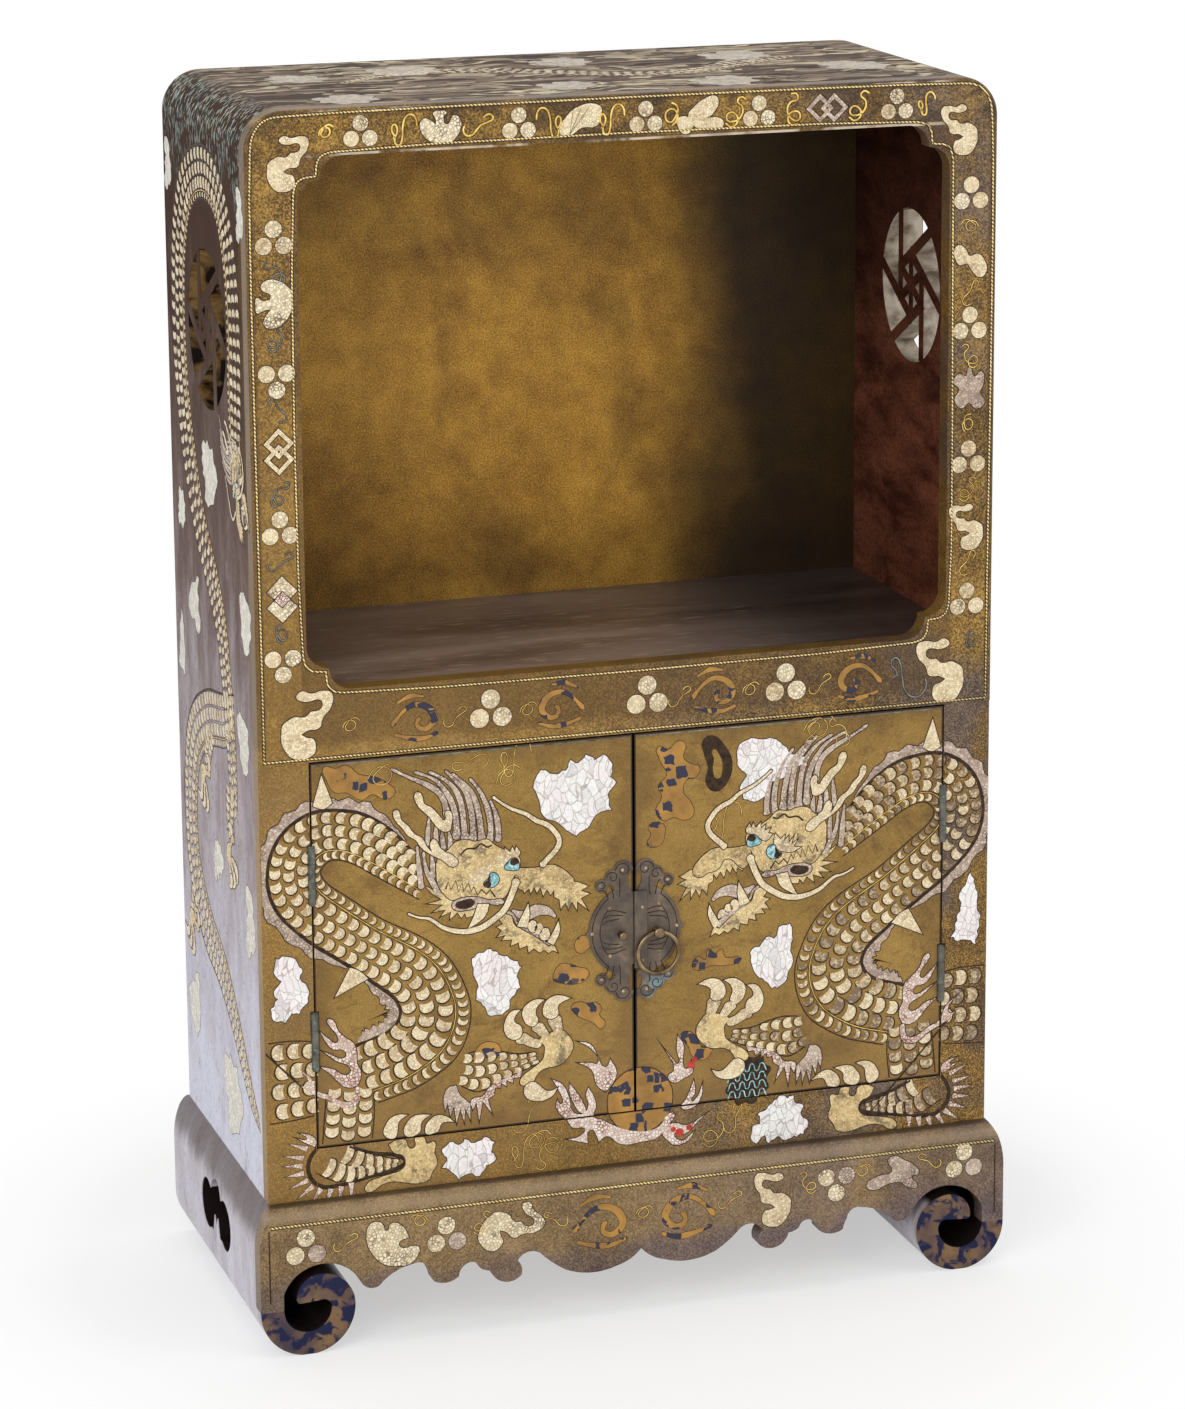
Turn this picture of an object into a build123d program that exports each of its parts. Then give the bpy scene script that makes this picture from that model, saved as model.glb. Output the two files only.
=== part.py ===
from build123d import *
import math
import os

# A low lacquered book cabinet: an open niche over a cupboard with two doors, on a stand
# whose side boards roll inward into scroll feet.
# Millimetres. +X to the right, -Y to the front, +Z up; origin on the floor, centre of the plan.

# ---- driving dimensions -------------------------------------------------------------
HEIGHT = 950.0
BODY_WIDTH = 586.0
BODY_DEPTH = 262.0
BOARD = 17.0            # side and top boards
CORNER_RADIUS = 30.0    # rounded upper corners, outside
LEDGE_Z = 119.0         # where the body stands on the stand
FRONT_PROUD = 1.0       # the niche frame stands proud of the door plane

FRAME_THICK = 16.0      # niche frame, front to back
STILE_WIDTH = 38.5      # of the niche frame
TOP_BORDER = 34.5       # of the niche frame, above the opening
OPENING_BOTTOM = 517.0
NOTCH = 17.0            # radius of the two lobes at each corner of the niche opening
FRAME_FOOT = 463.0      # lower edge of the niche frame, over the doors
FRAME_ROUND = 2.0       # eased outer front edge

SHELF_TOP = 516.0
SHELF_THICK = 18.0
HOUSING = 4.0           # depth of the grooves that hold shelf and floor
TONGUE_DROP = 6.0       # their tongues lie this far under the top face
BEARER_BOTTOM = 450.0   # batten under the shelf
BEARER_THICK = 13.0
STOP_WIDTH = 80.0       # block on the floor that the doors close against
STOP_THICK = 9.0
STOP_HEIGHT = 11.0
DOOR_REST = 0.3         # closed doors stay this far off bearer and stop
BACK_THICK = 8.0
BACK_INSET = 2.0
LOWER_RAIL_TOP = 159.0
FLOOR_THICK = 15.0

DOOR_TOP = 461.5
DOOR_BOTTOM = 160.2
DOOR_GAP = 2.0          # between the two doors
DOOR_SIDE_GAP = 1.0     # between door and stile
DOOR_THICK = 15.0
DOOR_BEVEL = 0.8        # meeting edges slope back by this much

FRET_RADIUS = 61.0      # round pierced window in each side
FRET_DROP = 180.0       # its centre lies this far below the top
FRET_BAR = 9.0
FRET_STEP = 22.0        # the stems of the window pass the centre at this distance
FRET_CROSS = 8.0        # thin bars across the middle

SHOULDER_OUT = 11.0     # the stand reaches past the body by this much on each side
STAND_BOARD = 18.0
APRON_THICK = 16.0
SHOULDER_DROP = 35.0
APRON_ROLL = 12.0       # and by this much at front and back, rounded over
APRON_SEAM_Z = 37.0     # the aprons lap over the side boards down to here
STAND_TOP_THICK = 18.0

SCROLL_RADIUS = 37.0
SCROLL_FLAT = 0.4       # the scroll is planed off by this much where it stands
SCROLL_INNER = 18.5
SCROLL_NOSE = 27.0      # radius of the second turn of the scroll

PIERCE_Z = 68.0         # cloud-shaped piercing in each stand side
PIERCE_LOBE = 20.0
PIERCE_REACH = 28.0

GLUE_BLOCK = 16.0       # blocks rubbed in under the stand's top
GLUE_LENGTH = 60.0
GLUE_SPACING = 180.0

HINGE_Z = (244.5, 375.0)
HINGE_LENGTH = 44.0
KNUCKLE_END = 12.5
KNUCKLE_GAP = 0.3
KNUCKLE_RADIUS = 3.0
KNUCKLE_SPACE = 0.35    # wood is hollowed this far around the barrel
PIN_RADIUS = 1.2
PIN_CLEAR = 0.05
PIN_HEAD = 1.2
NAIL_SPREAD = 14.0      # nails of a leaf, above and below its middle
NAIL_HEAD = 1.5
TACK_HEAD = 1.5
SHANK = 1.1             # square shank of nails and tacks
SHANK_HOLE = 1.2
NAIL_LENGTH = 8.0
TACK_LENGTH = 7.0
LEAF_THICK = 0.8
LEAF_NEAR = 3.4         # leaf begins this far behind the hinge axis
LEAF_DEEP = 13.5        # and ends here

PLATE_THICK = 1.2       # lock plate
PLATE_Z = 306.5
PLATE_RADIUS = 37.0
LOCK_BAR_THICK = 2.0
LOCK_BAR_X = (-0.6, 10.0)
LOCK_BAR_Z = (276.0, 337.5)
RING_X = 17.7
RING_EYE_Z = 304.0
RING_RADIUS = 16.5
RING_WIRE = 1.7
EYE_RADIUS = 4.0
EYE_HOLE = 2.4
SMALL_EYE_X = -11.0
SMALL_EYE_RADIUS = 3.0
SMALL_EYE_HOLE = 1.2
EYE_SHANK = 1.6
EYE_LEG = (8.0, 1.5, 1.2)   # spread legs inside: reach, thickness, half height

# ---- values that follow ----------------------------------------------------------------
half_body = BODY_WIDTH / 2
half_inside = half_body - BOARD
body_front = -BODY_DEPTH / 2
body_back = BODY_DEPTH / 2
door_front = body_front + FRONT_PROUD
frame_back = body_front + FRAME_THICK
half_opening = half_body - STILE_WIDTH
opening_top = HEIGHT - TOP_BORDER
fret_z = HEIGHT - FRET_DROP
back_rear = body_back - BACK_INSET
back_front = back_rear - BACK_THICK
shelf_bottom = SHELF_TOP - SHELF_THICK
shelf_middle = SHELF_TOP - SHELF_THICK / 2
floor_bottom = LOWER_RAIL_TOP - FLOOR_THICK
half_stand = half_body + SHOULDER_OUT
stand_inside = half_stand - STAND_BOARD
stand_front = body_front - APRON_ROLL
apron_back = stand_front + APRON_THICK
stand_top_bottom = LEDGE_Z - STAND_TOP_THICK
scroll_x = half_stand - SCROLL_RADIUS
scroll_z = SCROLL_RADIUS - SCROLL_FLAT
hinge_x = half_opening - DOOR_SIDE_GAP / 2
door_edge = half_opening - DOOR_SIDE_GAP
plate_front = door_front - PLATE_THICK
bar_front = plate_front - LOCK_BAR_THICK
ring_y = bar_front - RING_WIRE - 0.35
door_back = door_front + DOOR_THICK
knuckle_join = LEAF_NEAR - 1.4      # the leaf's strap reaches this near to the axis
LEFT, RIGHT = -1, 1


# ---- helpers ---------------------------------------------------------------------------
def block(x, y, z):
    """A box from three (low, high) pairs given in any order."""
    low = [min(pair) for pair in (x, y, z)]
    size = [abs(pair[1] - pair[0]) for pair in (x, y, z)]
    centre = [a + s / 2 for a, s in zip(low, size)]
    return Pos(*centre) * Box(*size)


def along_y(face, front, back):
    """A drawing in x and z, made solid from front to back."""
    return extrude(Plane.XZ.offset(-back) * face, amount=back - front)


def along_x(face, left, right):
    """A drawing in y and z, made solid from left to right."""
    return extrude(Plane.YZ.offset(left) * face, amount=right - left)


def peg(radius, place, turn, length, tip=1.0):
    """Eight-sided head or pin of a small fastener, standing on place, narrowing to its tip."""
    base = RegularPolygon(radius, 8)
    if tip == 1.0:
        return place * turn * extrude(base, length)
    return place * turn * loft([base, Pos(0, 0, length) * RegularPolygon(radius * tip, 8)])


def rod_x(radius, x0, x1, y, z):
    return Pos((x0 + x1) / 2, y, z) * Rot(0, 90, 0) * Cylinder(radius, abs(x1 - x0))


def rod_y(radius, x, y0, y1, z):
    return Pos(x, (y0 + y1) / 2, z) * Rot(90, 0, 0) * Cylinder(radius, abs(y1 - y0))


def rod_z(radius, x, y, z0, z1):
    return Pos(x, y, (z0 + z1) / 2) * Cylinder(radius, z1 - z0)


def mirrored(shape):
    return mirror(shape, about=Plane.YZ)


def on_side(shape, side):
    """A shape drawn for the right side, or its mirror image for the left."""
    return shape if side == RIGHT else mirrored(shape)


def save(name, *shapes):
    """One STEP for one node; several solids stay separate inside it."""
    solids = [solid for shape in shapes for solid in shape.solids()]
    node = solids[0] if len(solids) == 1 else Compound(children=solids)
    export_step(node, f"parts/{name}.step")


# ---- body: boards ------------------------------------------------------------------------
def fret_bars():
    """Six stems, each passing the centre on its right, and three bars across their middle."""
    reach = FRET_RADIUS + 2
    stem = Pos(FRET_STEP, (reach - FRET_STEP) / 2) * Rectangle(FRET_BAR, reach + FRET_STEP / 2)
    spoke = Rectangle(FRET_CROSS, 2.2 * FRET_STEP)
    return [Rot(0, 0, 60 * turn) * stem for turn in range(6)] + [
        Rot(0, 0, 60 * turn) * spoke for turn in range(3)]


def side_panel(side):
    """Side board with housings for shelf and floor and a round window of stepped bars."""
    top = HEIGHT - CORNER_RADIUS
    board = block((half_inside, half_body), (frame_back, body_back), (LEDGE_Z, top))
    housing = (half_inside, half_inside + HOUSING)
    deep = (frame_back, back_front)
    board -= block(housing, deep, (shelf_bottom, SHELF_TOP - TONGUE_DROP))
    board -= block(housing, deep, (floor_bottom, LOWER_RAIL_TOP - TONGUE_DROP))
    window = Circle(FRET_RADIUS) - fret_bars()
    board -= along_x(Pos(0, fret_z) * window, half_inside - 1, half_body + 1)
    return on_side(board, side)


def top_panel():
    """Top board that turns down over both sides in a round corner."""
    low = HEIGHT - CORNER_RADIUS
    outer = Pos(0, low) * Rectangle(BODY_WIDTH, 2 * CORNER_RADIUS)
    outer = fillet(outer.vertices(), CORNER_RADIUS - 0.001)
    inner_radius = CORNER_RADIUS - BOARD
    inner = Pos(0, low) * Rectangle(2 * half_inside, 2 * inner_radius)
    inner = fillet(inner.vertices(), inner_radius - 0.001)
    upper = Pos(0, low + CORNER_RADIUS) * Rectangle(BODY_WIDTH + 2, 2 * CORNER_RADIUS)
    return along_y((outer - inner) & upper, frame_back, body_back)


def niche_back():
    """Upper back board; its top corners follow the rounded top."""
    face = Pos(0, (shelf_middle + HEIGHT - BOARD) / 2)
    face *= Rectangle(2 * half_inside, HEIGHT - BOARD - shelf_middle)
    top_corners = face.vertices().sort_by(Axis.Y)[-2:]
    face = fillet(top_corners, CORNER_RADIUS - BOARD)
    return along_y(face, back_front, back_rear)


def lower_back():
    return block((-half_inside, half_inside), (back_front, back_rear), (LEDGE_Z, shelf_middle))


def housed_board(bottom, top):
    """Shelf or floor board: its tongues run into grooves in the side boards."""
    deep, tongue = (frame_back, back_front), half_inside + HOUSING
    board = block((-half_inside, half_inside), deep, (bottom, top))
    return board + block((-tongue, tongue), deep, (bottom, top - TONGUE_DROP))


# ---- body: frames ------------------------------------------------------------------------
def niche_frame():
    """Front frame round the niche, before it is cut into four mitred members."""
    height = HEIGHT - FRAME_FOOT
    outline = Pos(0, FRAME_FOOT + height / 2) * Rectangle(BODY_WIDTH, height)
    outline = fillet(outline.vertices().sort_by(Axis.Y)[-2:], CORNER_RADIUS)
    tall = opening_top - OPENING_BOTTOM
    centre = Pos(0, OPENING_BOTTOM + tall / 2)
    opening = centre * RectangleRounded(2 * (half_opening - NOTCH), tall, NOTCH)
    opening += centre * RectangleRounded(2 * half_opening, tall - 2 * NOTCH, NOTCH)
    frame = along_y(outline, body_front, frame_back)
    front_edges = frame.faces().sort_by(Axis.Y)[0].edges()
    outer_edges = [e for e in front_edges if e.center().Z > FRAME_FOOT + 1]
    frame = fillet(outer_edges, FRAME_ROUND)
    return frame - along_y(opening, body_front - 1, frame_back + 1)


def niche_frame_members():
    frame = niche_frame()
    cusp_x = half_opening - NOTCH
    low_cusp, high_cusp = OPENING_BOTTOM + NOTCH, opening_top - NOTCH
    top_line, foot_line = HEIGHT, FRAME_FOOT
    cutters = {
        "frame_top_rail": [(-half_body, top_line), (half_body, top_line),
                           (cusp_x, high_cusp), (-cusp_x, high_cusp)],
        "frame_bottom_rail": [(-half_body, foot_line), (half_body, foot_line),
                              (cusp_x, low_cusp), (-cusp_x, low_cusp)],
        "frame_stile_right": [(half_body, top_line), (half_body, foot_line),
                              (cusp_x, low_cusp), (cusp_x, high_cusp)],
        "frame_stile_left": [(-half_body, top_line), (-half_body, foot_line),
                             (-cusp_x, low_cusp), (-cusp_x, high_cusp)],
    }
    for name, corners in cutters.items():
        cutter = make_face(Polyline(*corners, close=True))
        yield name, frame & along_y(cutter, body_front - 1, frame_back + 1)


def lower_stile(side):
    """Stile beside a door, hollowed for the hinge barrels and sunk for the hinge leaves."""
    stile = block((half_opening, half_body), (door_front, frame_back), (LEDGE_Z, FRAME_FOOT))
    outer = stile.edges().filter_by(Axis.Z).sort_by(lambda e: e.center().Y - e.center().X)[0]
    stile = fillet(outer, FRAME_ROUND)
    for z in HINGE_Z:
        stile -= barrel_space(z) + frame_leaf_pocket(z)
        for drop in nail_heights(z):
            stile -= nail_hole(half_opening, drop, 1)
    return on_side(stile, side)


def lower_rail():
    return block((-half_opening, half_opening), (door_front, frame_back), (LEDGE_Z, LOWER_RAIL_TOP))


def shelf_bearer():
    """Batten under the shelf; the doors close against it."""
    front = door_back + DOOR_REST
    return block((-half_inside, half_inside), (front, front + BEARER_THICK),
                 (BEARER_BOTTOM, shelf_bottom))


def floor_stop():
    front, half = door_back + DOOR_REST, STOP_WIDTH / 2
    return block((-half, half), (front, front + STOP_THICK),
                 (LOWER_RAIL_TOP, LOWER_RAIL_TOP + STOP_HEIGHT))


# ---- hinges ------------------------------------------------------------------------------
def barrel_space(z):
    reach = HINGE_LENGTH / 2 + PIN_HEAD + 0.6
    return rod_z(KNUCKLE_RADIUS + KNUCKLE_SPACE, hinge_x, door_front, z - reach, z + reach)


def nail_heights(z):
    return (z - NAIL_SPREAD, z + NAIL_SPREAD)


def nail_y():
    return door_front + (LEAF_NEAR + LEAF_DEEP) / 2 + 0.5


def nail(face_x, z, way):
    """Leaf nail: flat head let into the leaf, shank driven the given way along x."""
    head = peg(NAIL_HEAD, Pos(face_x, nail_y(), z), Rot(0, 90 * way, 0), LEAF_THICK)
    return head + shank_x(SHANK, face_x, face_x + way * NAIL_LENGTH, z)


def shank_x(size, x0, x1, z):
    """Forged square shank, or its hole."""
    y, half = nail_y(), size / 2
    return block((x0, x1), (y - half, y + half), (z - half, z + half))


def nail_hole(face_x, z, way):
    return shank_x(SHANK_HOLE, face_x, face_x + way * (NAIL_LENGTH + 0.05), z)


def leaf(face_x, z, way, knuckle_spans):
    """One hinge leaf with its knuckles; face_x is the leaf's outer face, way points to the wood."""
    x = (face_x, face_x + way * LEAF_THICK)
    deep = (door_front + LEAF_NEAR, door_front + LEAF_DEEP)
    plate = block(x, deep, (z - HINGE_LENGTH / 2, z + HINGE_LENGTH / 2))
    for low, high in knuckle_spans:
        plate += rod_z(KNUCKLE_RADIUS, hinge_x, door_front, z + low, z + high)
        plate += block(x, (door_front + knuckle_join, door_front + LEAF_NEAR), (z + low, z + high))
    bore = HINGE_LENGTH / 2 + 1
    plate -= rod_z(PIN_RADIUS + PIN_CLEAR, hinge_x, door_front, z - bore, z + bore)
    for height in nail_heights(z):
        plate -= peg(NAIL_HEAD + PIN_CLEAR, Pos(face_x - way, nail_y(), height),
                     Rot(0, 90 * way, 0), 3)
    return plate


def frame_leaf_pocket(z):
    half = HINGE_LENGTH / 2 + 0.1
    return block((half_opening, half_opening + LEAF_THICK),
                 (door_front + 2.9, door_front + LEAF_DEEP + 0.1), (z - half, z + half))


def door_leaf_pocket(z):
    half = HINGE_LENGTH / 2 + 0.1
    return block((door_edge, door_edge - LEAF_THICK),
                 (door_front + 2.9, door_front + LEAF_DEEP + 0.1), (z - half, z + half))


def frame_leaf(z):
    half = HINGE_LENGTH / 2
    ends = [(-half, -half + KNUCKLE_END), (half - KNUCKLE_END, half)]
    return leaf(half_opening, z, 1, ends)


def door_leaf(z):
    middle = HINGE_LENGTH / 2 - KNUCKLE_END - KNUCKLE_GAP
    return leaf(door_edge, z, -1, [(-middle, middle)])


def hinge_pin(z):
    half = HINGE_LENGTH / 2
    pin = rod_z(PIN_RADIUS, hinge_x, door_front, z - half, z + half)
    for low in (z - half - PIN_HEAD, z + half):
        pin += peg(KNUCKLE_RADIUS - 0.4, Pos(hinge_x, door_front, low), Rot(0, 0, 0), PIN_HEAD)
    return pin


# ---- doors -------------------------------------------------------------------------------
def rivet_places():
    """Rivets of one half plate, as distance from the gap and height from the plate's middle."""
    r = PLATE_RADIUS
    upper = [(0.257 * r, 1.311 * r), (0.73 * r, 1.014 * r), (0.54 * r, 0.514 * r)]
    return [(0.92 * r, 0.0)] + upper + [(x, -z) for x, z in upper]


def rivet(x, z):
    """Domed brass tack: low head on the plate, shank into the door."""
    dome = peg(TACK_HEAD, Pos(x, plate_front, z), Rot(90, 0, 0), TACK_HEAD / 2, tip=0.5)
    return dome + shank_y(SHANK, x, plate_front, door_front + TACK_LENGTH, z)


def shank_y(size, x, y0, y1, z):
    half = size / 2
    return block((x - half, x + half), (y0, y1), (z - half, z + half))


def tack_hole(x, z):
    return shank_y(SHANK_HOLE, x, bar_front - 1, door_front + TACK_LENGTH + 0.05, z)


def door_board(side):
    """Plain door board with a meeting edge that slopes back, drawn on the right."""
    near, far = DOOR_GAP / 2, door_edge
    outline = Polyline((near, door_front), (far, door_front), (far, door_back),
                       (near + DOOR_BEVEL, door_back), close=True)
    board = extrude(Plane.XY.offset(DOOR_BOTTOM) * make_face(outline), DOOR_TOP - DOOR_BOTTOM)
    for z in HINGE_Z:
        board -= barrel_space(z) + door_leaf_pocket(z)
        for height in nail_heights(z):
            board -= nail_hole(door_edge, height, -1)
    for x, z in rivet_places():
        board -= tack_hole(x, PLATE_Z + z)
    if side == RIGHT:
        for z in bar_rivet_heights():
            board -= tack_hole(bar_middle(), z)
    eye_x = RING_X if side == RIGHT else -SMALL_EYE_X
    board -= rod_y(EYE_SHANK + PIN_CLEAR, eye_x, door_front, door_back, RING_EYE_Z)
    return on_side(board, side)


def lock_plate(side):
    """Half of the scalloped lock plate: round body, and a winged head above and below."""
    r = PLATE_RADIUS
    point = [(0.92 * r, 0.19 * r), (1.07 * r, 0), (0.92 * r, -0.19 * r)]
    neck = [(-0.162 * r, 0.162 * r), (0.162 * r, 0.162 * r), (0.054 * r, -0.054 * r),
            (-0.054 * r, -0.054 * r)]
    lobes = ((0.243, 1.311, 0.211), (0.473, 1.176, 0.173), (0.716, 1.014, 0.141),
             (0.243, 1.027, 0.216))     # x, height and radius as parts of the plate's radius
    half = Circle(r) + make_face(Polyline(*point, close=True))
    for up in (1, -1):
        for x, z, lobe in lobes:
            half += Pos(x * r, up * z * r) * Circle(lobe * r)
        half -= Pos(0, up * 1.122 * r) * Ellipse(0.162 * r, 0.189 * r)
        half -= Pos(0, up * 0.892 * r) * make_face(Polyline(*neck, close=True))
    window = Pos(half_body / 2 + DOOR_GAP / 2, 0) * Rectangle(half_body, 6 * r)
    plate = along_y(Pos(0, PLATE_Z) * (half & window), plate_front, door_front)
    for x, z in rivet_places():
        plate -= tack_hole(x, PLATE_Z + z)
    if side == RIGHT:
        for z in bar_rivet_heights():
            plate -= tack_hole(bar_middle(), z)
    eye_x = RING_X if side == RIGHT else -SMALL_EYE_X
    plate -= rod_y(EYE_SHANK + PIN_CLEAR, eye_x, plate_front - 1, door_front + 1, RING_EYE_Z)
    return on_side(plate, side)


def bar_middle():
    return sum(LOCK_BAR_X) / 2 + 1.0


def bar_rivet_heights():
    return (LOCK_BAR_Z[1] - 13, LOCK_BAR_Z[0] + 6)


def lock_bar():
    """Cover bar that closes the gap between the plates, carried by the right one."""
    bar = block(LOCK_BAR_X, (bar_front, plate_front), LOCK_BAR_Z)
    bar = chamfer(bar.faces().sort_by(Axis.Y)[0].edges(), 0.5)
    for z in bar_rivet_heights():
        bar -= tack_hole(bar_middle(), z)
    return bar


def bar_rivets():
    for z in bar_rivet_heights():
        head = peg(TACK_HEAD - 0.2, Pos(bar_middle(), bar_front, z), Rot(90, 0, 0),
                   0.7 if z > PLATE_Z else 0.5, tip=0.5)
        yield head + shank_y(SHANK, bar_middle(), bar_front, door_front + TACK_LENGTH, z)


def eye_post(x, radius, hole):
    """Eye of a split pin: round head with a cross hole, shank through the door, legs spread."""
    tip = ring_y - hole - 2.0
    post = rod_y(radius, x, tip, plate_front, RING_EYE_Z)
    post = chamfer(post.faces().sort_by(Axis.Y)[0].edges(), 0.9)
    post -= rod_x(hole, x - radius - 1, x + radius + 1, ring_y, RING_EYE_Z)
    reach, thick, half = EYE_LEG
    post += rod_y(EYE_SHANK, x, plate_front, door_back + thick, RING_EYE_Z)
    return post + block((x - reach, x + reach), (door_back, door_back + thick),
                        (RING_EYE_Z - half, RING_EYE_Z + half))


def pull_ring():
    centre = Pos(RING_X, ring_y, RING_EYE_Z - RING_RADIUS)
    section = Plane.XZ * Pos(RING_RADIUS, 0) * RegularPolygon(RING_WIRE, 8)
    return centre * Rot(90, 0, 0) * revolve(section, Axis.Z)


# ---- stand -------------------------------------------------------------------------------
def shoulder():
    """Round shoulder of the stand, from the wall's top up to the ledge."""
    wall_top = (half_stand, LEDGE_Z - SHOULDER_DROP)
    return TangentArc(wall_top, (half_body, LEDGE_Z), tangent=(0, 1)), wall_top


def scroll_outline():
    """Cross section of the rolled foot, from the wall's outside round to its inside."""
    nose, inner = SCROLL_NOSE, SCROLL_INNER
    nose_x = half_stand - 2 * SCROLL_RADIUS + nose
    inner_left = scroll_x - inner
    diagonal = nose * math.sqrt(0.5)

    def by_nose(right, up):
        return nose_x + right * nose, scroll_z + up * nose

    start, far = (half_stand, scroll_z), by_nose(-1, 0)
    crown, tip, under, pocket = by_nose(0, 1), by_nose(0.70, 0.33), by_nose(0.54, 0.185), \
        by_nose(0.04, 0.22)
    lines = [
        ThreePointArc(start, (scroll_x, scroll_z - SCROLL_RADIUS), far),
        ThreePointArc(far, (nose_x - diagonal, scroll_z + diagonal), crown),
        ThreePointArc(crown, by_nose(0.49, 0.81), tip),
        ThreePointArc(tip, by_nose(0.66, 0.215), under),
        Line(under, pocket),
        ThreePointArc(pocket, (inner_left + 0.1 * inner, scroll_z + 0.23 * inner),
                      (inner_left, scroll_z)),
        ThreePointArc((inner_left, scroll_z), (scroll_x, scroll_z - inner),
                      (stand_inside, scroll_z)),
    ]
    return lines, start


def stand_side(side):
    """Side board of the stand: round shoulder, wall, and the scroll foot, full depth."""
    lines, start = scroll_outline()
    arc, wall_top = shoulder()
    lines.append(Polyline((stand_inside, scroll_z), (stand_inside, LEDGE_Z), (half_body, LEDGE_Z)))
    lines.append(arc)
    lines.append(Line(wall_top, start))
    face = make_face(Curve() + lines)
    board = along_y(face, stand_front, -stand_front)
    out = half_stand + 1
    board -= block((0, out), (stand_front - 1, 1 - stand_front), (-SCROLL_RADIUS, 0))
    for front in (1, -1):
        lap = (front * stand_front, front * apron_back)
        board -= block((stand_inside, out), lap, (APRON_SEAM_Z, LEDGE_Z + 1))
    board -= along_x(piercing(), stand_inside - 1, half_stand + 1)
    return on_side(board, side)


def piercing():
    """Cloud-shaped hole: two side lobes, a crown, and a forked tongue rising in the middle."""
    lobe, base = PIERCE_LOBE, PIERCE_Z - 1.2 * PIERCE_LOBE
    cloud = Pos(0, PIERCE_Z - 0.15 * lobe) * Rectangle(2 * PIERCE_REACH, 1.6 * lobe)
    for side in (LEFT, RIGHT):
        cloud += Pos(side * PIERCE_REACH, PIERCE_Z - 0.1 * lobe) * Circle(lobe)
    cloud += Pos(0, PIERCE_Z + 0.45 * lobe) * Circle(0.85 * lobe)
    fork = [(-0.6, 0), (-0.45, 0.4), (-0.25, 1.0), (0, 0.6), (0.25, 1.0), (0.45, 0.4), (0.6, 0)]
    tongue = make_face(Polyline(*[(y * lobe, base + z * lobe) for y, z in fork], close=True))
    return cloud - tongue


def apron_lower_edge():
    """Cusped lower edge of one half. Each entry is a point on an arc and the arc's end,
    in hundredths of the half width and of the stand's height."""
    arcs = [
        ((87.9, 60.1), (78.7, 44.1)),     # clears the scroll
        ((76.6, 39.8), (73.8, 40.3)),     # tip of the outer leaf
        ((69.6, 48.3), (64.0, 52.5)),
        ((61.0, 51.3), (59.8, 46.2)),
        ((59.1, 42.9), (58.6, 38.7)),     # hook
        ((55.1, 36.6), (51.6, 39.9)),
        ((51.0, 44.5), (49.3, 47.9)),
        ((47.0, 47.9), (45.8, 44.1)),
        ((44.4, 42.0), (42.7, 41.2)),
        ((38.5, 31.9), (34.1, 35.3)),     # second leaf
        ((33.9, 40.3), (35.1, 45.4)),
        ((32.5, 50.4), (28.7, 48.7)),
        ((25.9, 42.4), (21.7, 35.3)),
        ((14.0, 30.8), (6.6, 33.6)),      # long centre lobe
        ((2.8, 37.4), (0.0, 43.3)),
    ]
    seat = (stand_inside, APRON_SEAM_Z)
    rise = (stand_inside, 0.42 * LEDGE_Z)
    edges, here = [Line(seat, rise)], rise
    for middle, end in arcs:
        middle, end = [(x * stand_inside / 100, z * LEDGE_Z / 100) for x, z in (middle, end)]
        edges.append(ThreePointArc(here, middle, end))
        here = end
    return edges, seat, here


def apron(front_side):
    """Shaped apron that laps over the side boards, rolled at its upper edge."""
    edges, seat, centre = apron_lower_edge()
    arc, wall_top = shoulder()
    edges.append(Polyline(centre, (0, LEDGE_Z), (half_body, LEDGE_Z)))
    edges.append(arc)
    edges.append(Polyline(wall_top, (half_stand, APRON_SEAM_Z), seat))
    half = along_y(make_face(Curve() + edges), stand_front, apron_back)
    board = half + mirrored(half)
    roll_z = LEDGE_Z - APRON_ROLL
    section = make_face(Curve() + [
        ThreePointArc((stand_front, roll_z),
                      (stand_front + APRON_ROLL * (1 - math.sqrt(0.5)),
                       roll_z + APRON_ROLL * math.sqrt(0.5)),
                      (stand_front + APRON_ROLL, LEDGE_Z)),
        Polyline((stand_front + APRON_ROLL, LEDGE_Z), (apron_back, LEDGE_Z), (apron_back, 0),
                 (stand_front, 0), (stand_front, roll_z))])
    board = board & along_x(section, -half_stand, half_stand)
    return board if front_side else mirror(board, about=Plane.XZ)


def stand_top():
    return block((-stand_inside, stand_inside), (apron_back, -apron_back), (stand_top_bottom, LEDGE_Z))


def glue_blocks():
    """Blocks rubbed into the corner between stand top and aprons."""
    for side in (1, -1):
        for x in (-GLUE_SPACING, 0, GLUE_SPACING):
            yield block((x - GLUE_LENGTH / 2, x + GLUE_LENGTH / 2),
                        (side * apron_back, side * (apron_back + GLUE_BLOCK)),
                        (stand_top_bottom - GLUE_BLOCK, stand_top_bottom))


# ---- write every node ----------------------------------------------------------------------
os.makedirs("parts", exist_ok=True)

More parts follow.
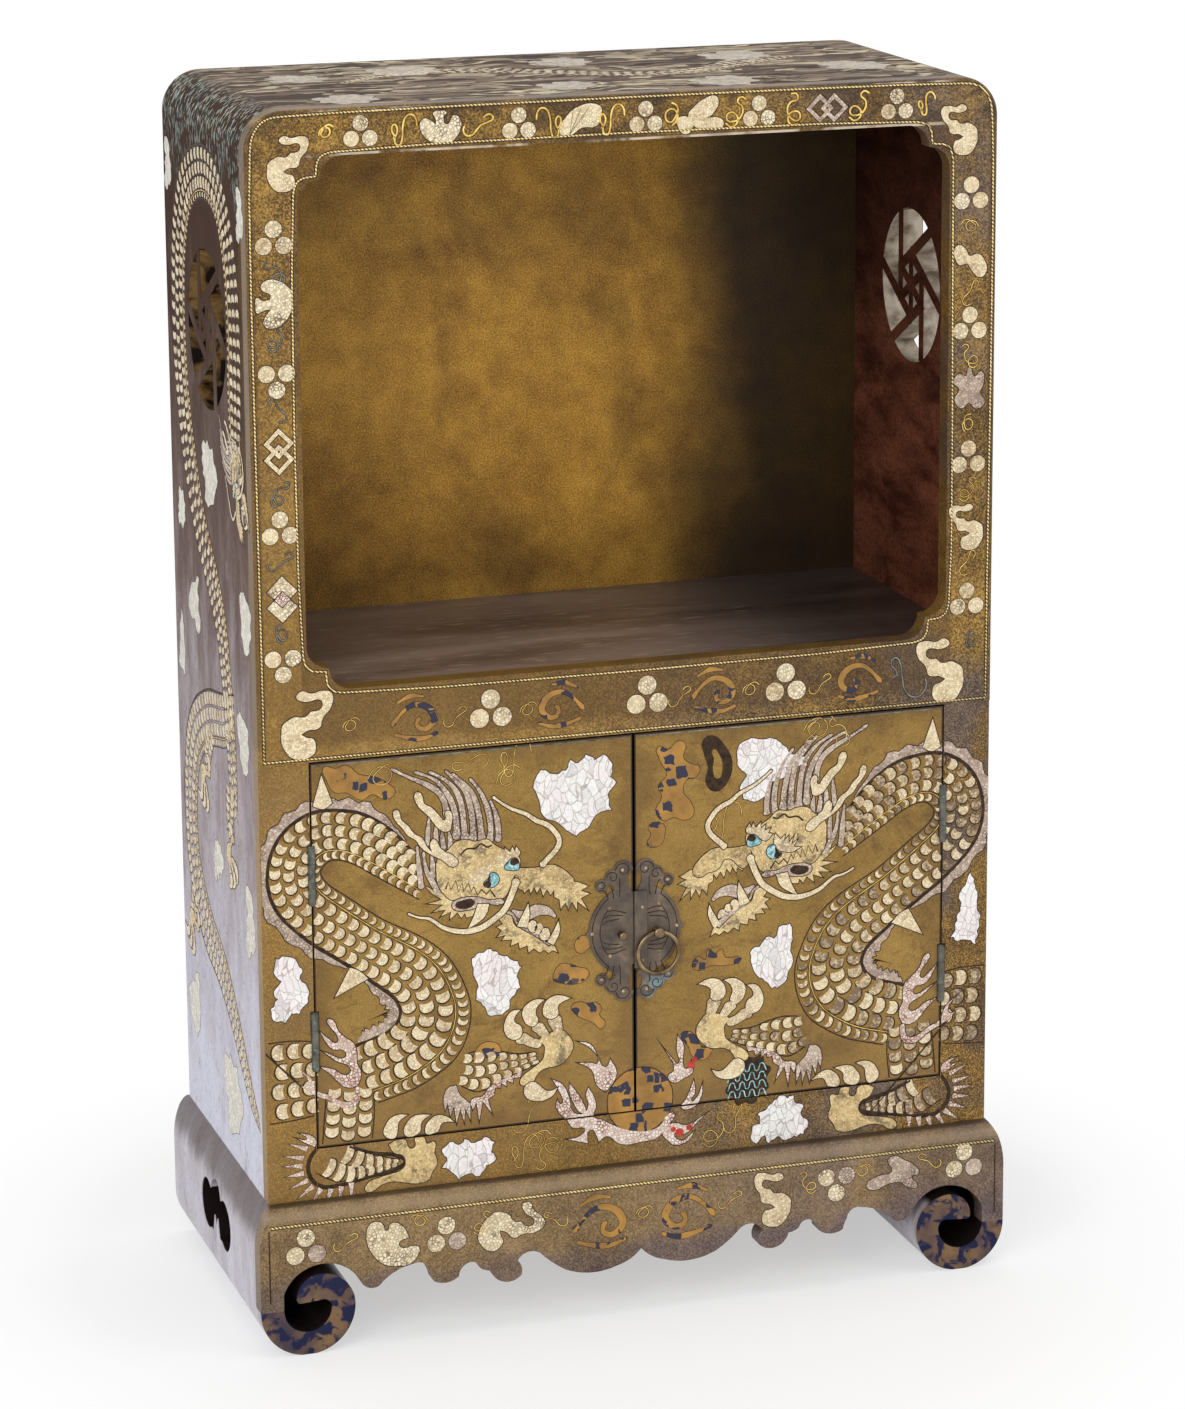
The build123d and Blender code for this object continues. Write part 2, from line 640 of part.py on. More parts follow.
for side, word in ((LEFT, "left"), (RIGHT, "right")):
    save(f"side_panel_{word}", side_panel(side))
    save(f"lower_stile_{word}", lower_stile(side))
    save(f"stand_side_{word}", stand_side(side))
    save(f"hinge_frame_leaves_{word}", *[on_side(frame_leaf(z), side) for z in HINGE_Z])
    save(f"hinge_door_leaves_{word}", *[on_side(door_leaf(z), side) for z in HINGE_Z])
    save(f"hinge_pins_{word}", *[on_side(hinge_pin(z), side) for z in HINGE_Z])
    heights = [h for z in HINGE_Z for h in nail_heights(z)]
    save(f"frame_leaf_nails_{word}", *[on_side(nail(half_opening, h, 1), side) for h in heights])
    save(f"door_leaf_nails_{word}", *[on_side(nail(door_edge, h, -1), side) for h in heights])
    save(f"door_board_{word}", door_board(side))
    save(f"lock_plate_{word}", lock_plate(side))
    save(f"lock_tacks_{word}", *[on_side(rivet(x, PLATE_Z + z), side) for x, z in rivet_places()])

for name, member in niche_frame_members():
    save(name, member)

save("top_panel", top_panel())
save("niche_back_panel", niche_back())
save("lower_back_panel", lower_back())
save("niche_shelf", housed_board(shelf_bottom, SHELF_TOP))
save("cupboard_floor", housed_board(floor_bottom, LOWER_RAIL_TOP))
save("lower_rail", lower_rail())
save("shelf_bearer", shelf_bearer())
save("door_stop_block", floor_stop())
save("stand_apron_front", apron(True))
save("stand_apron_back", apron(False))
save("stand_top_board", stand_top())
save("stand_glue_blocks", *glue_blocks())
save("lock_bar", lock_bar())
save("lock_bar_rivets", *bar_rivets())
save("ring_eye_post", eye_post(RING_X, EYE_RADIUS, EYE_HOLE))
save("small_eye_post", eye_post(SMALL_EYE_X, SMALL_EYE_RADIUS, SMALL_EYE_HOLE))
save("pull_ring", pull_ring())
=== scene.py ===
import bpy
import bmesh
import math
import random
from mathutils import Matrix, Vector


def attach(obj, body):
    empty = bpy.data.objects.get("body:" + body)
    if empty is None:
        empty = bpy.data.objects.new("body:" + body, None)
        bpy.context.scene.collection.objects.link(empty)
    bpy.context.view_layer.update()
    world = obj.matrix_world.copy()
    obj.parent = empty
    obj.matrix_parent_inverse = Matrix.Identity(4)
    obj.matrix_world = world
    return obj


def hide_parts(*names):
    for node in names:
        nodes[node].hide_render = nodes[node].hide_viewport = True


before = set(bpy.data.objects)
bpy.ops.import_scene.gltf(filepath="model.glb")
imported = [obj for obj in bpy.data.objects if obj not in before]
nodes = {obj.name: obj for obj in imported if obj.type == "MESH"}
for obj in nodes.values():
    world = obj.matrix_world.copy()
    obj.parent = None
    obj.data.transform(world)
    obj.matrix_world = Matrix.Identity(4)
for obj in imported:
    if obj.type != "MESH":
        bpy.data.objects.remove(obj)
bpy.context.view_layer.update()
mm = 0.001
# faces and edges of the boards, in millimetres
door = {"near": 1.0, "far": 253.5, "foot": 160.2, "top": 461.5, "front": -130.0}
cabinet = {"front": -131.0, "side": 293.0, "top": 950.0, "apron": -143.0, "lockPlate": -131.2,
           "window": (770.0, 61.0),      # height and radius of the pierced windows
           "plateMiddle": 306.5}
print("frame loaded:", len(nodes), "nodes")


# finishes
def tint(red, green, blue):     # 0-255 colour to what the nodes expect
    def linear(value):
        value /= 255
        return value / 12.92 if value <= 0.04045 else ((value + 0.055) / 1.055) ** 2.4
    return (linear(red), linear(green), linear(blue), 1.0)


class Finish:
    # one material and short ways to add the nodes it needs
    def __init__(self, name, roughness=0.5, metallic=0.0, coat=0.0, coatRoughness=0.15, specular=0.5):
        self.material = bpy.data.materials.new(name)
        self.material.use_nodes = True
        self.tree = self.material.node_tree
        self.shader = self.tree.nodes["Principled BSDF"]
        for key, value in (("Roughness", roughness), ("Metallic", metallic), ("Coat Weight", coat),
                           ("Coat Roughness", coatRoughness), ("Specular IOR Level", specular)):
            self.shader.inputs[key].default_value = value
        self.place = self.add("TexCoord").outputs["Object"]

    def add(self, kind, inputs=None, **settings):
        node = self.tree.nodes.new("ShaderNode" + kind)
        for key, value in settings.items():
            setattr(node, key, value)
        for key, value in (inputs or {}).items():
            if isinstance(value, bpy.types.NodeSocket):
                self.tree.links.new(value, node.inputs[key])
            else:
                node.inputs[key].default_value = value
        return node

    def noise(self, scale, detail=3, rough=0.5, warp=0.0, vector=None):
        return self.add("TexNoise", {"Vector": vector or self.place, "Scale": scale, "Detail": detail,
                                     "Roughness": rough, "Distortion": warp}).outputs["Fac"]

    def cells(self, scale, feature="F1", vector=None):
        return self.add("TexVoronoi", {"Vector": vector or self.place, "Scale": scale}, feature=feature)

    def stretched(self, x, y, z):
        return self.add("Mapping", {"Vector": self.place, "Scale": (x, y, z)}).outputs["Vector"]

    def ramp(self, factor, *stops):     # each stop is a position and a colour
        node = self.add("ValToRGB", {"Fac": factor})
        points = node.color_ramp.elements
        while len(points) < len(stops):
            points.new(0.5)
        for point, (position, *colour) in zip(points, stops):
            point.position, point.color = position, tint(*colour)
        return node.outputs["Color"]

    def maths(self, operation, a, b=0.0, clamp=False):
        return self.add("Math", {0: a, 1: b}, operation=operation, use_clamp=clamp).outputs[0]

    def plus(self, a, b, clamp=False):
        return self.maths("ADD", a, b, clamp)

    def less(self, a, b):
        return self.maths("SUBTRACT", a, b)

    def times(self, a, b):
        return self.maths("MULTIPLY", a, b)

    def least(self, a, b):
        return self.maths("MINIMUM", a, b)

    def most(self, a, b):
        return self.maths("MAXIMUM", a, b)

    def product(self, *values):
        result = values[0]
        for value in values[1:]:
            result = self.times(result, value)
        return result

    def mix(self, factor, a, b, blend="MIX"):
        a, b = (tint(*colour) if isinstance(colour, tuple) else colour for colour in (a, b))
        node = self.add("Mix", {0: factor, 6: a, 7: b}, data_type="RGBA", blend_type=blend)
        return node.outputs[2]

    def step(self, value, low, high):       # 0 below low, 1 above high, smooth between
        return self.add("MapRange", {"Value": value, "From Min": low, "From Max": high},
                        interpolation_type="SMOOTHSTEP").outputs["Result"]

    def rise(self, value, low, high):       # the same with both ends in millimetres
        return self.step(value, low * mm, high * mm)

    def axis(self, name):
        return self.add("SeparateXYZ", {0: self.place}).outputs[name]

    def off(self, name):        # how far out from the middle, whichever side
        return self.maths("ABSOLUTE", self.axis(name))

    def crumbs(self, scale, vector=None):       # each cell's own random numbers
        return self.add("SeparateColor", {0: self.cells(scale, vector=vector).outputs["Color"]}).outputs

    def seams(self, scale, vector=None):        # how far each spot lies from the edge of its cell
        return self.cells(scale, "DISTANCE_TO_EDGE", vector).outputs["Distance"]

    def drift(self, scale, detail, reach, vector=None):     # the place, pushed about by a noise
        push = self.add("TexNoise", {"Vector": self.place, "Scale": scale, "Detail": detail})
        push = self.add("VectorMath", {0: push.outputs["Color"], 1: reach}, operation="MULTIPLY").outputs[0]
        return self.add("VectorMath", {0: vector or self.place, 1: push}, operation="ADD").outputs[0]

    def length(self, vector):
        return self.add("VectorMath", {0: vector}, operation="LENGTH").outputs["Value"]

    def cover(self, share, colour, amount=None):    # lays another colour over the one so far
        if amount is not None:
            share = self.times(share, amount)
        self.colour = self.mix(share, self.colour, colour)

    def paint(self, colour=None):
        self.tree.links.new(colour or self.colour, self.shader.inputs["Base Color"])

    def polish(self, value):
        self.tree.links.new(value, self.shader.inputs["Roughness"])

    def bump(self, height, strength=0.3, distance=0.3):
        node = self.add("Bump", {"Height": height, "Strength": strength, "Distance": distance * mm})
        self.tree.links.new(node.outputs["Normal"], self.shader.inputs["Normal"])


def goldLacquer(name, dark, middle, light, grit=1.0, roughness=0.42):
    # gold dust sprinkled in brown lacquer, rubbed through to brown in clouds
    f = Finish(name, roughness, coat=0.05, coatRoughness=0.2, specular=0.25)
    clouds = f.noise(8, 4, 0.6, 0.4)
    rubbed = f.noise(42, 5, 0.65)
    dust = f.noise(760, 3, 0.8)
    f.value = f.plus(f.times(clouds, 0.4), f.times(rubbed, 0.35))
    f.value = f.plus(f.value, f.times(f.less(dust, 0.5), grit))
    f.value = f.plus(f.value, 0.125)
    f.colour = f.ramp(f.value, (0.3, *dark), (0.5, *middle), (0.7, *light))
    f.polish(f.plus(f.times(rubbed, 0.18), roughness - 0.08))
    f.bump(f.plus(f.times(dust, 0.3), rubbed), 0.25, 0.25)
    return f


def makeFrontLacquer():
    f = goldLacquer("frontLacquer", (48, 34, 18), (112, 84, 38), (184, 144, 70), 1.4)
    across, up, deep = f.off("X"), f.axis("Z"), f.axis("Y")
    # browner and greyer toward the right and the foot, with worn violet clouds
    cloud = f.step(f.noise(9, 4, 0.6, 0.5), 0.42, 0.6)
    rightward = f.times(f.rise(f.axis("X"), -60, 300), 0.75)
    low = f.times(f.rise(up, 540, 440), 0.3)
    worn = f.times(cloud, f.plus(f.plus(rightward, low), 0.12))
    shaded = f.ramp(f.value, (0.3, 52, 40, 34), (0.5, 92, 76, 66), (0.7, 138, 116, 92))
    f.cover(worn, shaded)
    golden = f.product(f.rise(up, 900, 520), f.rise(f.axis("X"), 160, -200), 0.45)
    f.cover(golden, (152, 117, 58))
    # a browner band inside the edges
    outer = f.least(f.less(290 * mm, across), f.less(947.5 * mm, up))
    inner = f.most(f.less(across, 255 * mm), f.less(up, 916 * mm))
    margin = f.least(outer, inner)
    brown = f.product(f.rise(margin, 4.5, 2.5), f.rise(up, 470, 480), 0.5)
    f.cover(brown, (72, 50, 27))
    # painted highlight: a thin silvery line along the rounded edges of the top rail, broken into patches,
    # where the roll catches the light
    line = f.times(f.rise(margin, 1.6, 1.0), f.rise(margin, -1.4, -0.8))
    patchy = f.step(f.noise(24, 4, 0.6), 0.42, 0.54)
    high = f.times(f.rise(up, 905, 915), f.rise(across, 262, 240))
    f.cover(f.product(line, patchy, high, 0.85), (206, 190, 166))
    # the top rail is rubbed through to brown in patches
    dusky = f.times(f.rise(up, 905, 925), f.step(f.noise(22, 4, 0.65, 0.6), 0.46, 0.6))
    f.cover(dusky, (50, 36, 26), 0.6)
    # the faces turned to the door gaps are painted near black, a painted shade in the gaps
    behind = f.rise(deep, -129.7, -129.2)
    gap = f.product(behind, f.rise(up, 466.5, 465.5), f.rise(across, 288, 286))
    f.cover(gap, (18, 12, 9))
    f.paint()
    return f.material


def makeApronLacquer():
    f = goldLacquer("apronLacquer", (68, 52, 36), (122, 98, 64), (168, 140, 98), 1.0)
    up = f.axis("Z")
    # violet and worn along the cut lower edge and to the right
    lower = f.rise(f.plus(up, f.times(f.noise(30, 4), 40 * mm)), 88, 66)
    rightward = f.times(f.rise(f.axis("X"), -120, 260), 0.7)
    cloud = f.step(f.noise(10, 4, 0.6, 0.5), 0.38, 0.62)
    worn = f.plus(f.times(lower, 0.7), f.times(cloud, rightward), True)
    shaded = f.ramp(f.value, (0.3, 54, 42, 42), (0.5, 92, 76, 74), (0.7, 134, 116, 106))
    f.cover(worn, shaded)
    # a painted highlight along the roll at its top, and painted shade in the crease where the body stands
    rollHighlight = f.product(f.rise(up, 106, 110), f.rise(up, 117, 113), 0.4)
    f.cover(rollHighlight, (158, 138, 112))
    f.cover(f.rise(up, 116.6, 118.4), (46, 33, 24), 0.8)
    # the scroll ends and the rolled feet are tortoiseshell under the seam
    below = f.rise(up, 37.4, 36.9)
    frontal = f.rise(f.axis("Y"), -141, -142)
    f.cover(f.times(below, frontal), footShell(f))
    f.paint()
    return f.material


def footShell(f):
    # smoky horn: tan with crowded blue-black clouds
    spots = f.noise(76, 3, 0.55, 0.6)
    horn = f.ramp(f.noise(40, 3, 0.6), (0.35, 72, 62, 70), (0.65, 128, 101, 72))
    return f.mix(f.step(spots, 0.47, 0.56), horn, (36, 38, 66))


def makeShell():
    # clear amber horn with squarish blue-black spots
    f = Finish("tortoiseshell", 0.3, coat=0.15, coatRoughness=0.1, specular=0.3)
    warped = f.drift(70.0, 2.0, (0.012, 0.012, 0.012))
    spot = f.add("TexVoronoi", {"Vector": warped, "Scale": 108.0}, distance="CHEBYCHEV")
    parts = f.add("SeparateColor", {0: spot.outputs["Color"]})
    reach = f.plus(f.times(parts.outputs[1], 0.34), 0.2)
    inside = f.step(f.less(spot.outputs["Distance"], reach), 0.03, -0.01)
    dark = f.times(f.step(parts.outputs[0], 0.4, 0.42), inside)
    amber = f.ramp(f.noise(46, 3, 0.6), (0.35, 138, 101, 46), (0.65, 178, 131, 58))
    f.paint(f.mix(dark, amber, (42, 42, 62)))
    f.bump(f.noise(300, 3), 0.1, 0.2)
    return f.material


def makeDoorLacquer():
    f = goldLacquer("doorLacquer", (102, 77, 38), (142, 111, 52), (170, 136, 70), 0.7)
    across = f.off("X")
    up, deep = f.axis("Z"), f.axis("Y")
    sides = f.least(f.less(across, door["near"] * mm), f.less(door["far"] * mm, across))
    ends = f.least(f.less(up, door["foot"] * mm), f.less(door["top"] * mm, up))
    uneven = f.times(f.less(f.noise(26, 4, 0.6), 0.5), 60 * mm)
    worn = f.rise(f.plus(f.least(sides, ends), uneven), 24, -4)
    brown = f.ramp(f.value, (0.3, 78, 56, 28), (0.7, 132, 100, 50))
    f.cover(worn, brown, 0.7)
    # old worn places, scratched and darker toward the foot
    patches = f.step(f.noise(15, 6, 0.75, 0.8), 0.5, 0.62)
    f.cover(patches, brown, 0.7)
    lower = f.rise(f.plus(up, f.times(f.noise(12, 3), 160 * mm)), 350, 210)
    f.cover(lower, (132, 102, 60), 0.45)
    scratch = f.step(f.noise(170, 5, 0.75, 1.2, f.stretched(0.4, 1, 1)), 0.54, 0.64)
    f.cover(scratch, (104, 76, 38), 0.5)
    # painted shade: a dark line round the door's outline and near-black edge faces, standing in for the
    # shadow in the gaps
    margin = f.rise(f.least(sides, ends), 1.3, 0.8)
    f.cover(margin, (26, 17, 12), 0.85)
    edges = f.rise(deep, -129.8, -129.4)
    f.cover(edges, (20, 13, 10))
    grain = f.noise(26, 5, 0.6, 1.2, f.stretched(1, 1, 0.12))
    back = f.ramp(grain, (0.34, 92, 60, 40), (0.66, 140, 98, 66))
    f.cover(f.rise(deep, -115.4, -115.1), back)
    f.paint()
    return f.material


def sideGround(f, raised=0.0):
    # dark violet-brown above, streaked up and down; the clearing to lavender grey below is a painted
    # reflection of the pale studio
    streaks = f.noise(36, 5, 0.65, 0.4, f.stretched(1, 1, 0.35))
    fine = f.noise(300, 5, 0.8, 1.2, f.stretched(1, 1, 0.45))
    height = f.plus(f.axis("Z"), f.times(f.less(streaks, 0.5), 500 * mm))
    height = f.plus(height, raised)
    f.colour = f.ramp(height, (0.12, 214, 214, 228), (0.38, 176, 166, 170),
                      (0.6, 112, 94, 88), (0.8, 74, 55, 46), (0.98, 62, 44, 34))
    # painted sheen: the lower streaks catch a pale lavender shine
    shine = f.times(f.step(streaks, 0.56, 0.68), f.step(height, 0.8, 0.5))
    f.cover(shine, (150, 140, 144), 0.4)
    f.cover(f.step(fine, 0.5, 0.66), (48, 38, 38), 0.42)
    # a few chips of the top run down on to the sides
    chip = f.crumbs(300, f.stretched(1, 2.4, 0.7))
    fallen = f.rise(f.plus(f.axis("Z"), f.times(streaks, 160 * mm)), 950, 1000)
    sown = f.times(f.step(chip[1], 0.76, 0.8), fallen)
    f.cover(sown, (140, 152, 148), 0.8)
    # golden brown toward the front arris, most of all high up
    frontward = f.rise(f.axis("Y"), -84, -124)
    gilded = f.product(frontward, f.rise(f.axis("Z"), 420, 760), f.step(streaks, 0.66, 0.46))
    f.cover(gilded, (96, 72, 38), 0.85)
    f.polish(f.plus(f.times(streaks, 0.2), 0.24))
    f.bump(f.plus(streaks, f.times(fine, 0.3)), 0.2, 0.3)
    return streaks


def makeSideLacquer():
    f = Finish("sideLacquer", 0.5, coat=0.06, coatRoughness=0.3, specular=0.0)
    sideGround(f)
    inner = f.ramp(f.noise(14, 4, 0.6, 0.4, f.stretched(1, 1, 2.5)), (0.35, 68, 36, 27),
                   (0.65, 120, 72, 52))
    dust = f.step(f.noise(520, 3, 0.75), 0.54, 0.4)
    inner = f.mix(f.times(dust, 0.55), inner, (26, 14, 10))
    # painted shade: the inner faces darken toward the top, under the top board
    inner = f.mix(f.times(f.rise(f.axis("Z"), 640, 850), 0.6), inner, (22, 12, 10))
    across = f.off("X")
    f.colour = f.mix(f.rise(across, 290, 292), inner, f.colour)
    # the sawn walls of the windows: on the right board paler than both faces, a painted light standing in
    # for the light falling through the hole from outside; on the left board smoky dark gold
    height, rim = cabinet["window"]
    centre = f.add("CombineXYZ", {1: f.axis("Y"), 2: f.less(f.axis("Z"), height * mm)}).outputs[0]
    sawn = f.product(f.rise(f.length(centre), rim + 1, rim + 0.4), f.rise(across, 276.2, 276.8),
                     f.rise(across, 292.8, 292.2))
    pale = f.ramp(f.noise(50, 4, 0.6), (0.35, 104, 88, 74), (0.6, 186, 174, 158))
    smoky = f.ramp(f.noise(46, 4, 0.6, 0.6), (0.42, 26, 20, 18), (0.6, 120, 94, 56))
    pale = f.mix(f.rise(f.axis("X"), 1, -1), pale, smoky)
    f.cover(sawn, pale)
    f.paint()
    return f.material


def makeStandLacquer():
    f = Finish("standLacquer", 0.5, coat=0.06, coatRoughness=0.3, specular=0.04)
    streaks = sideGround(f, 0.22)
    across, up = f.off("X"), f.axis("Z")
    # the shoulder that carries the body is browner
    shoulder = f.rise(f.plus(up, f.times(streaks, 20 * mm)), 92, 112)
    f.cover(shoulder, (74, 60, 54), 0.7)
    f.cover(f.rise(f.axis("Y"), -136, -142), (126, 100, 62), 0.6)
    # the bores of the scroll feet and the thickness of the pierced holes are painted nearly black, a painted
    # shade in these hollows
    outward = f.less(267 * mm, across)
    centre = f.add("CombineXYZ", {0: outward, 2: f.less(up, 36.6 * mm)}).outputs[0]
    bore = f.rise(f.length(centre), 35, 33)
    hollow = f.product(f.rise(across, 303.6, 303.2), f.rise(up, 83.4, 82.6),
                       f.rise(up, 41, 42), f.rise(f.off("Y"), 52, 50))
    f.cover(f.most(bore, hollow), (30, 22, 22))
    f.cover(f.rise(f.off("Y"), 142.2, 142.8), footShell(f))
    f.paint()
    return f.material


def makeTopLacquer():
    # close-set strips of ray skin and pearl in brown lacquer, bluer chips on the round ends
    f = Finish("topLacquer", 0.46, specular=0.015)
    warped = f.drift(16.0, 3.0, (0.04, 0.05, 0.0), f.stretched(0.26, 1, 1))
    flake, edge = f.crumbs(170, warped), f.seams(170, warped)
    shade = f.plus(f.times(flake[0], 0.55),
                   f.times(f.noise(11, 4, 0.6, 0.8, f.stretched(0.5, 1, 1)), 0.6))
    f.colour = f.ramp(shade, (0.24, 30, 19, 14), (0.42, 64, 47, 36), (0.56, 102, 85, 72),
                      (0.72, 150, 136, 114), (0.86, 200, 186, 156))
    f.cover(f.step(edge, 0.1, 0.03), (54, 38, 30), 0.6)
    chip = f.crumbs(300, f.stretched(1, 2.4, 0.7))
    chipColour = f.ramp(chip[0], (0.0, 84, 110, 112), (0.5, 150, 164, 160), (1.0, 190, 176, 150))
    chipped = f.mix(f.step(chip[1], 0.74, 0.78), (54, 38, 26), chipColour)
    f.cover(f.rise(f.off("X"), 262, 280), chipped)
    f.cover(f.rise(f.axis("Y"), -127, -129.5), (74, 50, 28), 0.6)      # the lip over the front
    # painted shade on the underside of the top, over the niche
    under = f.rise(f.axis("Z"), 934, 932)
    within = f.rise(f.off("X"), 278, 276.5)
    f.cover(f.times(under, within), (46, 28, 16))
    f.paint()
    f.bump(f.plus(edge, flake[0]), 0.12, 0.3)
    return f.material


def makeNicheBack():
    # dusted gold, bright in the middle, with painted shade: dim above, at the left edge and toward the
    # shelf, and lost in near-black painted shadow to the right; the blotches are mottling in the lacquer
    f = goldLacquer("nicheBackLacquer", (104, 70, 22), (174, 126, 44), (228, 178, 72), 1.1, 0.5)
    up, across = f.axis("Z"), f.axis("X")
    above = f.rise(f.plus(up, f.times(f.noise(9, 3), 110 * mm)), 925, 985)
    leftward = f.rise(f.plus(across, f.times(f.noise(9, 3), 60 * mm)), -200, -250)
    rightward = f.rise(f.plus(across, f.times(f.noise(6, 3), 110 * mm)), 140, 245)
    low = f.rise(up, 600, 530)
    dim = f.ramp(f.value, (0.3, 36, 22, 10), (0.5, 66, 44, 20), (0.7, 108, 80, 36))
    blotch = f.step(f.noise(7, 4, 0.55, 0.8), 0.48, 0.64)
    for patch, share in ((above, 0.8), (leftward, 0.5), (low, 0.45), (blotch, 0.38)):
        f.cover(patch, dim, share)
    f.cover(rightward, (18, 10, 8), 0.93)
    grain = f.noise(26, 5, 0.6, 1.2, f.stretched(0.12, 1, 1))
    rear = f.ramp(grain, (0.34, 98, 68, 42), (0.66, 150, 110, 72))
    f.cover(f.rise(f.axis("Y"), 122, 122.5), rear)
    f.paint()
    return f.material


def makeShelfLacquer():
    f = Finish("shelfLacquer", 0.34, coat=0.12, coatRoughness=0.25)
    streaks = f.noise(10, 5, 0.6, 0.5, f.stretched(0.3, 1.6, 1))
    fine = f.noise(260, 4, 0.6, 0.0, f.stretched(0.15, 1, 1))
    f.colour = f.ramp(streaks, (0.35, 84, 70, 66), (0.66, 146, 128, 118))
    f.cover(f.step(fine, 0.55, 0.7), (166, 148, 136))
    # painted shade: the shelf grows near black toward the right, as the niche does
    rightward = f.rise(f.plus(f.axis("X"), f.times(streaks, 120 * mm)), 60, 280)
    f.cover(rightward, (24, 14, 14), 0.8)
    f.paint()
    f.polish(f.plus(f.times(streaks, 0.3), 0.2))
    f.bump(f.plus(streaks, f.times(fine, 0.2)), 0.15, 0.4)
    return f.material


def makeBareWood():
    f = Finish("bareWood", 0.62)
    grain = f.noise(26, 5, 0.6, 1.2, f.stretched(0.12, 1, 1))
    pores = f.noise(420, 3, 0.6, 0.0, f.stretched(0.05, 1, 1))
    f.colour = f.ramp(grain, (0.34, 98, 68, 42), (0.66, 150, 110, 72))
    f.cover(f.step(pores, 0.58, 0.7), (70, 46, 28))
    f.paint()
    f.bump(f.plus(grain, f.times(pores, 0.3)), 0.3, 0.3)
    return f.material


def makeLockBrass():
    f = Finish("lockBrass", 0.44, metallic=0.5)
    smoky = f.noise(60, 5, 0.65, 0.3)
    f.colour = f.ramp(smoky, (0.35, 74, 65, 60), (0.6, 108, 94, 80), (0.75, 140, 122, 102))
    across, up = f.axis("X"), f.axis("Z")
    corner = f.times(f.rise(across, 4, 14), f.rise(up, 273, 262))
    green = f.times(corner, f.step(f.noise(110, 4, 0.6), 0.38, 0.55))
    f.cover(green, (122, 136, 142))
    f.paint()
    f.polish(f.plus(f.times(smoky, 0.3), 0.3))
    f.bump(f.noise(260, 4, 0.6), 0.25, 0.2)
    return f.material


def makeRingBrass():
    f = Finish("ringBrass", 0.24, metallic=0.9)
    smoky = f.noise(70, 3, 0.5)
    f.paint(f.ramp(smoky, (0.35, 92, 76, 56), (0.7, 156, 134, 100)))
    f.polish(f.plus(f.times(smoky, 0.25), 0.16))
    return f.material


def makeHingeBrass():
    f = Finish("hingeBrass", 0.46, metallic=0.5)
    smoky = f.noise(120, 4, 0.6)
    f.colour = f.ramp(smoky, (0.35, 70, 68, 62), (0.68, 112, 112, 102))
    f.cover(f.step(f.noise(220, 3), 0.6, 0.68), (104, 126, 116))
    f.paint()
    f.bump(smoky, 0.3, 0.2)
    return f.material


def makeRaySkin(name, low, middle, high, seam, tone=0.5, grains=560, seams=0.5, blots=0.0):
    # polished ray skin: packed round grains with darker seams between them
    f = Finish(name, 0.42, coat=0.1, coatRoughness=0.15, specular=0.3)
    shade = f.add("Attribute", attribute_name="tone").outputs["Fac"]
    grain, border = f.crumbs(grains)[0], f.seams(grains)
    value = f.plus(f.times(shade, 1 - tone), f.times(grain, tone))
    value = f.plus(value, f.times(f.less(f.noise(90, 3), 0.5), 0.6))
    f.colour = f.ramp(value, (0.05, *low), (0.4, *middle), (0.8, *high))
    stain = f.step(f.noise(60, 4, 0.6), 0.46, 0.62)
    stain = f.plus(f.times(stain, 0.5), 0.5)
    lines = f.product(f.step(border, 0.2, 0.04), stain, seams)
    f.cover(lines, seam)
    if blots:
        dark = f.step(f.noise(62, 5, 0.75, 0.5), 0.52, 0.64)
        f.cover(f.times(dark, blots), (70, 58, 54))
    f.paint()
    f.bump(border, 0.3, 0.3)
    return f.material


def makePearl():
    # crackled shell laid as small strips, with a faint pink and green play
    f = Finish("motherOfPearl", 0.3, coat=0.2, coatRoughness=0.08)
    warped = f.drift(34.0, 2.0, (0.03, 0.03, 0.03), f.stretched(1.5, 1, 0.7))
    each, crack, hair = f.crumbs(118, warped)[0], f.seams(118, warped), f.seams(420, warped)
    ripple = f.noise(160, 3, 0.6, 1.5, f.stretched(1, 1, 2.4))
    value = f.plus(f.times(each, 0.5), f.times(ripple, 0.5))
    f.colour = f.ramp(value, (0.18, 202, 196, 198), (0.42, 246, 244, 240),
                      (0.6, 234, 228, 228), (0.85, 254, 254, 250))
    hue = f.ramp(f.noise(30, 2), (0.4, 240, 216, 220), (0.62, 206, 230, 220))
    f.colour = f.mix(0.2, f.colour, hue, "MULTIPLY")
    broken = f.most(f.times(f.step(crack, 0.06, 0.02), 0.6),
                    f.times(f.step(hair, 0.06, 0.02), 0.25))
    f.cover(broken, (140, 116, 100))
    f.paint()
    f.bump(f.plus(crack, f.times(ripple, 0.3)), 0.35, 0.4)
    return f.material


def makeTwist(name, shadow, bright):
    # two strands laid round each other, with painted shade in every turn and a painted highlight on each
    # strand
    f = Finish(name, 0.34, metallic=0.3)
    run = f.plus(f.plus(f.axis("X"), f.axis("Z")), f.axis("Y"))
    turn = f.maths("SINE", f.times(run, 2 * math.pi / (3.0 * mm)))
    turn = f.plus(turn, f.times(f.less(f.noise(60, 3), 0.5), 2.0))
    f.paint(f.ramp(f.plus(f.times(turn, 0.5), 0.5), (0.15, *shadow), (0.65, *bright)))
    f.bump(turn, 0.6, 0.3)
    return f.material


def makePlain(name, dull, bright, grain, last=0.7, roughness=0.4, metallic=0.0, pits=300, deep=0.2,
              specular=0.5):
    # two tones clouded together, with fine pits
    f = Finish(name, roughness, metallic=metallic, specular=specular)
    f.paint(f.ramp(f.noise(grain, 3), (0.35, *dull), (last, *bright)))
    f.bump(f.noise(pits, 3), 0.2, deep)
    return f.material


